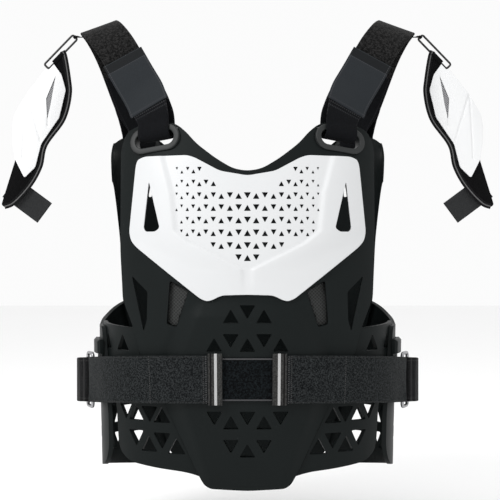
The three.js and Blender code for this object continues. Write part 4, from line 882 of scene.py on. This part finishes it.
# Points of the belt's middle line: the body's section at the belt's upper edge, set down to its height.
def beltLine(turns, offset):
    y = ovalPoint(turns, -beltLook["drop"])[..., 1]
    points = bodyPoint(turns, beltHeight(y) + beltWidth / 2, offset + 0 * y)
    points[..., 2] = beltHeight(points[..., 1])
    return points


def beltTurn(x):
    return turnAt(x, -beltLook["drop"] + beltWidth / 2, beltSeat)


def ringPlace(side):
    leave = beltLine(np.array([side * beltLook["flapTurn"]]), (beltSeat + flapSeat) / 2)[0]
    outward = outwardAt(side * beltLook["flapTurn"], leave[2] + beltWidth / 2) * [1, 1, 0]
    outward = unit(outward)
    ahead = np.array([-side * outward[1], side * outward[0], 0])
    near = leave * [1, 1, 0] + ahead * beltLook["flapRun"]
    return outward, ahead, near, near + ahead * beltLook["ringLength"]


# Half a turn round a bar from its outer side, by way of the given direction, to its inner side.
def wrapRound(bar, outward, over, steps=14):
    angle = np.linspace(0, math.pi, steps)[:, None]
    return bar + wrapRadius * (outward * np.cos(angle) + over * np.sin(angle))


def upright(points):
    points = np.array(points, float)
    points[:, 2] = beltHeight(points[:, 1])
    return points


flapCloth = wovenCloth("belt flap", {
    "color": (.002, .003, .0034), "light": (.025, .028, .029), "roughness": .92, "sheen": .03, "pitch": 1.8,
    "stretch": 1.2, "weave": .25, "nap": .8, "fibre": 600.0, "bump": 1.0,
    "stitches": [
        ("across", 17.5, 2.4, 1.2, .5, (.07, .07, .07)), ("across", 20.5, 2.2, 1, .5, (.05, .05, .05)),
        ("across", 82, 2.4, .7, .6, (.06, .06, .06)), ("along", 24.4, 3, .6, .7, (.03, .03, .03)),
        ("along", -24.4, 3, .6, .7, (.03, .03, .03)),
    ],
})
baseCloth = wovenCloth("belt base", {
    "color": (.0002, .0005, .0008), "light": (.006, .0085, .01), "roughness": .95, "sheen": .02,
    "pitch": 1.6, "stretch": 1.2, "weave": .15, "nap": 1.0, "fibre": 520.0, "bump": 1.0,
    "stitches": [
        ("along", 22.2, 3, 1.6, 1.1, (.06, .06, .062)), ("along", -22.2, 3, 1.6, 1.1, (.06, .06, .062)),
    ],
})
rearCloth = wovenCloth("rear belt webbing", {
    "color": (.0025, .0027, .003), "light": (.012, .012, .013), "roughness": .85, "sheen": .03,
    "pitch": 1.8, "stretch": .9, "weave": .6, "nap": .25, "fibre": 900.0, "bump": .6,
    "stitches": [
        ("along", 22, 3.2, .7, .7, (.035, .035, .035)), ("along", -22, 3.2, .7, .7, (.035, .035, .035)),
    ],
})
pullCloth = wovenCloth("pull tab binding", {
    "color": (.02, .02, .0195), "light": (.045, .045, .043), "roughness": .8, "sheen": .02, "pitch": 1.4,
    "stretch": .8, "weave": .4, "nap": .2, "fibre": 600.0, "bump": .6,
    "stitches": [
        ("across", 7, 200, 3, 1.1, (.42, .42, .42)), ("across", 12.4, 200, 1.6, 1.1, (.004, .004, .004)),
    ],
})
standing = np.array([0, 0, 1.0])


def makeBelt(name, line, cloth, width=beltWidth, wall=beltWall, turned=1):
    finishPiece(makeBand(name, line, standing + 0 * line, width, wall, cloth, turned))


reach = beltTurn(beltLook["baseHalf"])
line = beltLine(np.linspace(-reach, reach, 60), beltSeat)
makeBelt("belt base", line, baseCloth, width=beltWidth - beltLook["baseInset"], turned=-1)

rings = []
for name, side in sides.items():
    outward, ahead, near, far = ringPlace(side)
    start, back = beltTurn(beltLook["flapInset"]), beltTurn(beltLook["flapReturn"])
    makeBelt("belt flap " + name, np.concatenate([
        beltLine(side * np.linspace(start, beltLook["flapTurn"], 110), flapSeat),
        upright(wrapRound(near, outward, ahead)),
        beltLine(side * np.linspace(beltLook["flapTurn"], back, 40), beltSeat),
    ]), flapCloth)

    turns = [beltTurn(beltLook["flapInset"] + part) for part in np.linspace(0, beltLook["pullLength"], 12)]
    wall, width = beltLook["pullWall"], beltWidth + beltLook["pullOver"]
    line = beltLine(side * np.array(turns), flapSeat + (beltWall + wall) / 2 + beltGap)
    makeBelt("pull tab " + name, line, pullCloth, width, wall)

    middle = upright([(near + far) / 2])
    loop = roundedLoop(beltLook["ringLength"], beltLook["ringHeight"], beltLook["ringWire"])
    loop = middle + loop[:, :1] * ahead + loop[:, 1:] * standing
    ring = makeWire("belt ring " + name, loop, np.cross(ahead, standing), beltLook["ringWire"] / 2, steelWire)
    finishPiece(ring)
    rings.append((far, outward, ahead))

# Each end of the rear strap goes round its ring's outer bar and back along its own inner side.
(leftBar, leftOut, leftAhead), (rightBar, rightOut, rightAhead) = rings
seat = body["back"] * bodyShares(shareAt(beltHeight(body["back"]) + beltWidth / 2))[2] + wallDepth
rest = [0, seat + beltGap + beltWall / 2 + beltLook["rearGap"], 0]
half = np.array([(out * beltLook["reach"], along * rest[1], 0) for out, along in beltLook["rear"]])
loose, run = alongRows([
    leftBar + leftOut * wrapRadius, *half * [-1, 1, 1], rest, *half[::-1], rightBar + rightOut * wrapRadius,
], 300)
inner = np.cross(standing, unit(np.gradient(loose, axis=0)))
apart = beltWall + beltGap
depth = np.where(run < 12, 2 * wrapRadius + (apart - 2 * wrapRadius) * smooth(run, 2, 14), apart)
fold = (loose + inner * depth[:, None])[6:np.searchsorted(run, 48)]
makeBelt("belt rear", upright(np.concatenate([
    fold[::-1], wrapRound(leftBar, leftOut, -leftAhead)[::-1], loose[2:-2],
    wrapRound(rightBar, rightOut, -rightAhead), fold * [-1, 1, 1],
])), rearCloth)

# Belt keepers: blocks on the back wings with a thin foot behind the belt
keeperLook = {"start": 72, "end": 87, "height": 16, "rise": 6.5, "foot": 2.2, "lift": 3}
seat = wingLook["rearSeat"] + wingLook["wall"] + beltGap
step = beltHeight(-body["front"] / 2) + beltWidth / 2 + beltGap + keeperLook["lift"]
top = step + keeperLook["height"]


def keeperOffset(turn, z, base):
    block = smooth(z, step - .5, step)
    start = smooth(abs(turn), keeperLook["start"], keeperLook["start"] + 1)
    end = smooth(-abs(turn), -keeperLook["end"], -keeperLook["end"] + 1)
    crown = .5 + .5 * np.minimum(np.minimum(start, end), smooth(-z, -top, -top + 2.5))
    return seat + keeperLook["foot"] + (keeperLook["rise"] - keeperLook["foot"]) * block * crown


heights = [np.linspace(step - beltWidth, step - .6, 30), np.linspace(step - .5, top, 30)]
heights = np.concatenate(heights)
for name, side in sides.items():
    turns = side * np.linspace(keeperLook["start"], keeperLook["end"], 40)
    keeper = bodyWall("belt keeper " + name, turns, heights[::-side], seat, keeperOffset, shellBlack)
    shadeByAngle(keeper)
    finishPiece(keeper)
print("belt")

# Arm guards: worked out flat below the ring's lower bar, bent, then hung and turned on the bar
guardLook = {
    "reach": 90, "length": 200, "lean": (.312, .95), "bow": 62, "wall": 2.2, "backing": 3.4, "hang": .02103,
    "ringLength": 49, "ringWidth": 7.5, "wire": 1.25, "bore": 1.45, "hem": 2.1, "hemStart": 24,
    "hemEnd": 40, "round": 2.2, "gap": .35, "edging": (6.5, 1.1), "stub": (29, 2.2),
    "edge": [
        (.265, .115), (.181, .07), (.155, .099), (.104, .246), (.095, .315), (.176, .47), (.419, .637),
        (.482, .759), (.627, .878), (.853, .984), (.951, 1), (1, .984), (.816, .715),
    ],
    "outer": [(.853, .621), (.867, .523), (.844, .445), (.685, .329), (.393, .168)],
    "plateEdge": [
        (.321, .141), (.204, .213), (.152, .303), (.239, .466), (.473, .625), (.549, .761), (.69, .825),
        (.816, .715),
    ],
    "vent": [(.279, .219), (.344, .385), (.39, .478), (.405, .356)],
    "creases": [((.687, .311), (.72, .712)), ((.687, .311), (.48, .606)), ((.388, .466), (.383, .519))],
    "axis": (.6947, 0, -.7193), "up": (.7193, 0, .6947), "bar": (202.211, 0, -11.563),
    "top": (204.909, 0, -8.958), "corner": 2.5, "crease": (1.3, .9), "edgingInset": 1.2, "edgingLift": .5,
    "stubStart": (.74, .931), "stubWay": (.804, .594), "stubLift": 2.65,
}


guardSize = np.array([guardLook["reach"], guardLook["length"]])
leanOut, leanDown = guardLook["lean"]
guardPlane = ((0, 0, 0), (1, 0, 0), (0, 0, 1), -200, 200)


def guardFigure(rows, side):
    return np.array(rows) * guardSize * [side, -1]


# How far the guard bends back: the square of the distance from its long axis over twice the bow.
def guardBend(out, down):
    across = (out - guardSize[0] / 2) * leanDown - (down - guardSize[1] / 2) * leanOut
    return across**2 / (2 * guardLook["bow"])


def ringAxes(side):
    return np.array(guardLook["axis"]) * [side, 1, 1], np.array(guardLook["up"]) * [side, 1, 1]


# From the flat guard to the hung one: a turn about the bar, then the bar's place.
def hangPiece(piece, name, replaces=True):
    side = sides[name]
    axis, up = ringAxes(side)
    cosine, sine = math.cos(guardLook["hang"]), -side * math.sin(guardLook["hang"])
    points = np.empty(3 * len(piece.data.vertices))
    piece.data.vertices.foreach_get("co", points)
    points = points.reshape(-1, 3) * 1000
    along = axis * (points @ axis)[:, None]
    points = points * cosine + np.cross(axis, points) * sine + along * (1 - cosine)
    points += np.array(guardLook["bar"]) * [side, 1, 1]
    piece.data.vertices.foreach_set("co", (points / 1000).ravel())
    piece.data.update()
    finishPiece(piece, "guard_" + name, replaces)


# A bent slab: a grid along and across the guard, its two faces at their depths from the bend.
def guardSlab(name, side, figure, near, far, material, holes, relief=None):
    across = side * np.linspace(-.5, .5, 90) * guardSize[0]
    across, along = np.meshgrid(across, np.linspace(-.64, .64, 170) * guardSize[1])
    out = guardSize[0] / 2 + side * across * leanDown + along * leanOut
    down = guardSize[1] / 2 - side * across * leanOut + along * leanDown
    bend = guardBend(out, down)
    raised = relief(out, down) if relief else 0
    front = np.stack([side * out, near + bend - raised, -down], -1).reshape(-1, 3)
    behind = np.stack([side * out, far + bend, -down], -1).reshape(-1, 3)
    piece = makePiece(name, np.concatenate([front, behind]), wallFaces(*out.shape), material)
    carve(piece, [(figure, *guardPlane)], holes)
    shadeByAngle(piece, 40)
    return piece


# Thin creases pressed into the white guard shell.
def guardRelief(out, down):
    height = 0 * out
    depth, spread = guardLook["crease"]
    for crease in guardLook["creases"]:
        start, end = np.array(crease) * guardSize
        run = end - start
        share = np.clip(((out - start[0]) * run[0] + (down - start[1]) * run[1]) / (run @ run), 0, 1)
        away = np.hypot(out - start[0] - share * run[0], down - start[1] - share * run[1])
        height -= depth * np.exp(-(away / spread) ** 2)
    return height


# Prisms set by the ring's lower bar: a box across it, and a round hole along it.
def barBox(side, start, end, above, below):
    box = [(start, -below), (end, -below), (end, above), (start, above)]
    return (box, (0, 0, 0), *ringAxes(side), -60, 60)


def barHole(side, radius, start, end):
    axis, up = ringAxes(side)
    turn = np.linspace(0, 2 * math.pi, 32, endpoint=False)
    circle = radius * np.stack([np.cos(turn), np.sin(turn)], -1)
    return (circle, (0, 0, 0), up, np.cross(axis, up), start, end)


padCloth = wovenCloth("guard padding", {
    "color": (.001, .001, .0012), "light": (.004, .004, .0045), "roughness": .9, "sheen": 0.0, "pitch": 1.6,
    "stretch": 1, "weave": .1, "nap": .6, "fibre": 1000.0, "bump": .5,
})
edging = wovenCloth("guard edging", {
    "color": (.002, .002, .0023), "light": (.009, .009, .01), "roughness": .8, "sheen": .02, "pitch": 1.2,
    "stretch": .8, "weave": .5, "nap": .2, "fibre": 900.0, "bump": .5,
    "stitches": [("along", 0, 3, 1.3, 1.1, (.11, .11, .11))],
})
stubCloth = wovenCloth("arm strap webbing", {
    "color": (.022, .023, .024), "light": (.034, .035, .036), "roughness": .85, "sheen": .05, "pitch": 1.7,
    "stretch": .8, "weave": .7, "nap": .3, "fibre": 900.0, "bump": .7,
})
hemStart, hemEnd, bore = guardLook["hemStart"], guardLook["hemEnd"], guardLook["bore"]
hemRadius, half = bore + guardLook["hem"], guardLook["backing"] / 2
gap, wall, corner = guardLook["gap"], guardLook["wall"], guardLook["corner"]
ringLength, ringWidth, ringRound = guardLook["ringLength"], guardLook["ringWidth"], guardLook["round"]
seat = -half - gap
for name, side in sides.items():
    axis, up = ringAxes(side)
    ends = barBox(side, hemEnd, ringLength + ringRound, ringWidth + ringRound, bore)
    figure = rounded(guardFigure(guardLook["edge"] + guardLook["outer"], side), corner)
    backing = guardSlab("guard backing " + name, side, figure, -half, half, padCloth, [
        barBox(side, -ringRound, hemStart, ringWidth, bore + guardLook["hem"] / 2),
        ends, barHole(side, hemRadius - .3, hemStart + .1, hemEnd - .1),
    ])
    hangPiece(backing, name)

    turn = np.linspace(0, 2 * math.pi, 40, endpoint=False)[:, None]
    spokes = np.cos(turn) * up + np.sin(turn) * np.cross(axis, up)
    section = [(bore, hemStart), (hemRadius - .5, hemStart), (hemRadius, hemStart + .5),
               (hemRadius, hemEnd - .5), (hemRadius - .5, hemEnd), (bore, hemEnd)]
    grid = np.array([[radius * spoke + along * axis for radius, along in section] for spoke in spokes])
    hem = makePiece("guard hem " + name, grid.reshape(-1, 3), tubeFaces(*grid.shape[:2]), padCloth)
    hangPiece(hem, name, replaces=False)

    inner = np.array(guardLook["edge"])[1:11] * guardSize
    path, run = alongRows(np.c_[inner, 0 * inner[:, 0]], 160)
    x, z = path[:, 0], path[:, 1]
    inward = -unit(np.stack([-np.gradient(z), np.gradient(x)], -1))
    x, z = (path[:, :2] + guardLook["edgingInset"] * inward).T
    points = np.stack([side * x, guardBend(x, z) - half - guardLook["edgingLift"], -z], -1)
    across = np.stack([side * np.gradient(z), 0 * x, np.gradient(x)], -1)
    band = makeBand("guard edging " + name, points, across, *guardLook["edging"], edging)
    hangPiece(band, name, replaces=False)

    figure = rounded(guardFigure(guardLook["plateEdge"] + guardLook["outer"], side), corner)
    cover = guardSlab("guard plate " + name, side, figure, seat - wall, seat, guardWhite, [
        (rounded(guardFigure(guardLook["vent"], side), 1.5), *guardPlane), ends,
        barHole(side, hemRadius + gap, hemStart - 2, hemEnd + gap),
    ], guardRelief)
    hangPiece(cover, name)

    vent = np.array(guardLook["vent"])
    figure = rounded(guardFigure(vent.mean(0) + (vent - vent.mean(0)) * .9, side), 1)
    net = guardSlab("guard vent " + name, side, figure, seat - wall * .6, seat, guardNet, [])
    hangPiece(net, name)

    along = np.linspace(-18, 34, 50)[:, None]
    (x, z), (out, down) = guardLook["stubStart"] * guardSize, guardLook["stubWay"]
    line = np.array([side * x, half + guardLook["stubLift"], -z]) + along * np.array([-side * out, 0, -down])
    across = np.array([side * down, 0, -out]) + 0 * line
    stub = makeBand("arm strap " + name, line, across, *guardLook["stub"], stubCloth)
    hangPiece(stub, name)

    loop = roundedLoop(ringLength, ringWidth, ringRound)
    loop = loop[:, :1] * axis + loop[:, 1:] * up
    loop += np.array(guardLook["top"]) * [side, 1, 1] + axis * ringLength / 2
    ring = makeWire("guard ring " + name, loop, np.cross(axis, up), guardLook["wire"], blackWire)
    finishPiece(ring)
    setMaterial(bpy.data.objects["guard_hanger_" + name].data, padCloth)
print("arm guards")

# Floor, lights and camera
stageLook = {
    "floorDrop": .06, "floorHalf": 6, "floor": (.93, .93, .93), "world": .97, "aim": (0, 0, -.27),
    "camera": (.0028, -1.5, -.262), "lens": 90.9, "sensor": 36,
    "lights": {  # place, size and power
        "key": ((-1.3, -1.5, 1.1), .7, 26),
        "fill": ((1.6, -1.2, .1), 1.2, 1),
        "top": ((.1, -.1, 1.8), 1.2, 8),
    },
}
link = bpy.context.scene.collection.objects.link
for name, (place, size, power) in stageLook["lights"].items():
    light = bpy.data.lights.new(name, "AREA")
    light.energy, light.shape, light.size = power, "SQUARE", size
    lamp = bpy.data.objects.new(name, light)
    lamp.location = place
    lamp.rotation_euler = (Vector(stageLook["aim"]) - Vector(place)).to_track_quat("-Z", "Y").to_euler()
    link(lamp)

far = stageLook["floorHalf"]
floorHeight = cadBox[0][2] - stageLook["floorDrop"]
floorMesh = bpy.data.meshes.new("floor")
corners = [(x * far, y * far, floorHeight) for x, y in ((-1, -1), (1, -1), (1, 1), (-1, 1))]
floorMesh.from_pydata(corners, [], [(0, 1, 2, 3)])
setMaterial(floorMesh, Paint("pale floor", stageLook["floor"], .8).material)
floor = bpy.data.objects.new("floor", floorMesh)
link(floor)

bpy.context.scene.view_settings.view_transform = "Standard"
world = bpy.data.worlds.new("studio")
bpy.context.scene.world = world
world.use_nodes = True
sky = world.node_tree.nodes["Background"]
sky.inputs["Color"].default_value = (1, 1, 1, 1)
sky.inputs["Strength"].default_value = stageLook["world"]

camera = bpy.data.objects.new("camera", bpy.data.cameras.new("camera"))
camera.data.lens = stageLook["lens"]
camera.data.sensor_width = stageLook["sensor"]
camera.location = stageLook["camera"]
camera.rotation_euler = (math.pi / 2, 0, 0)
link(camera)
bpy.context.scene.camera = camera
print("stage, lights and camera")
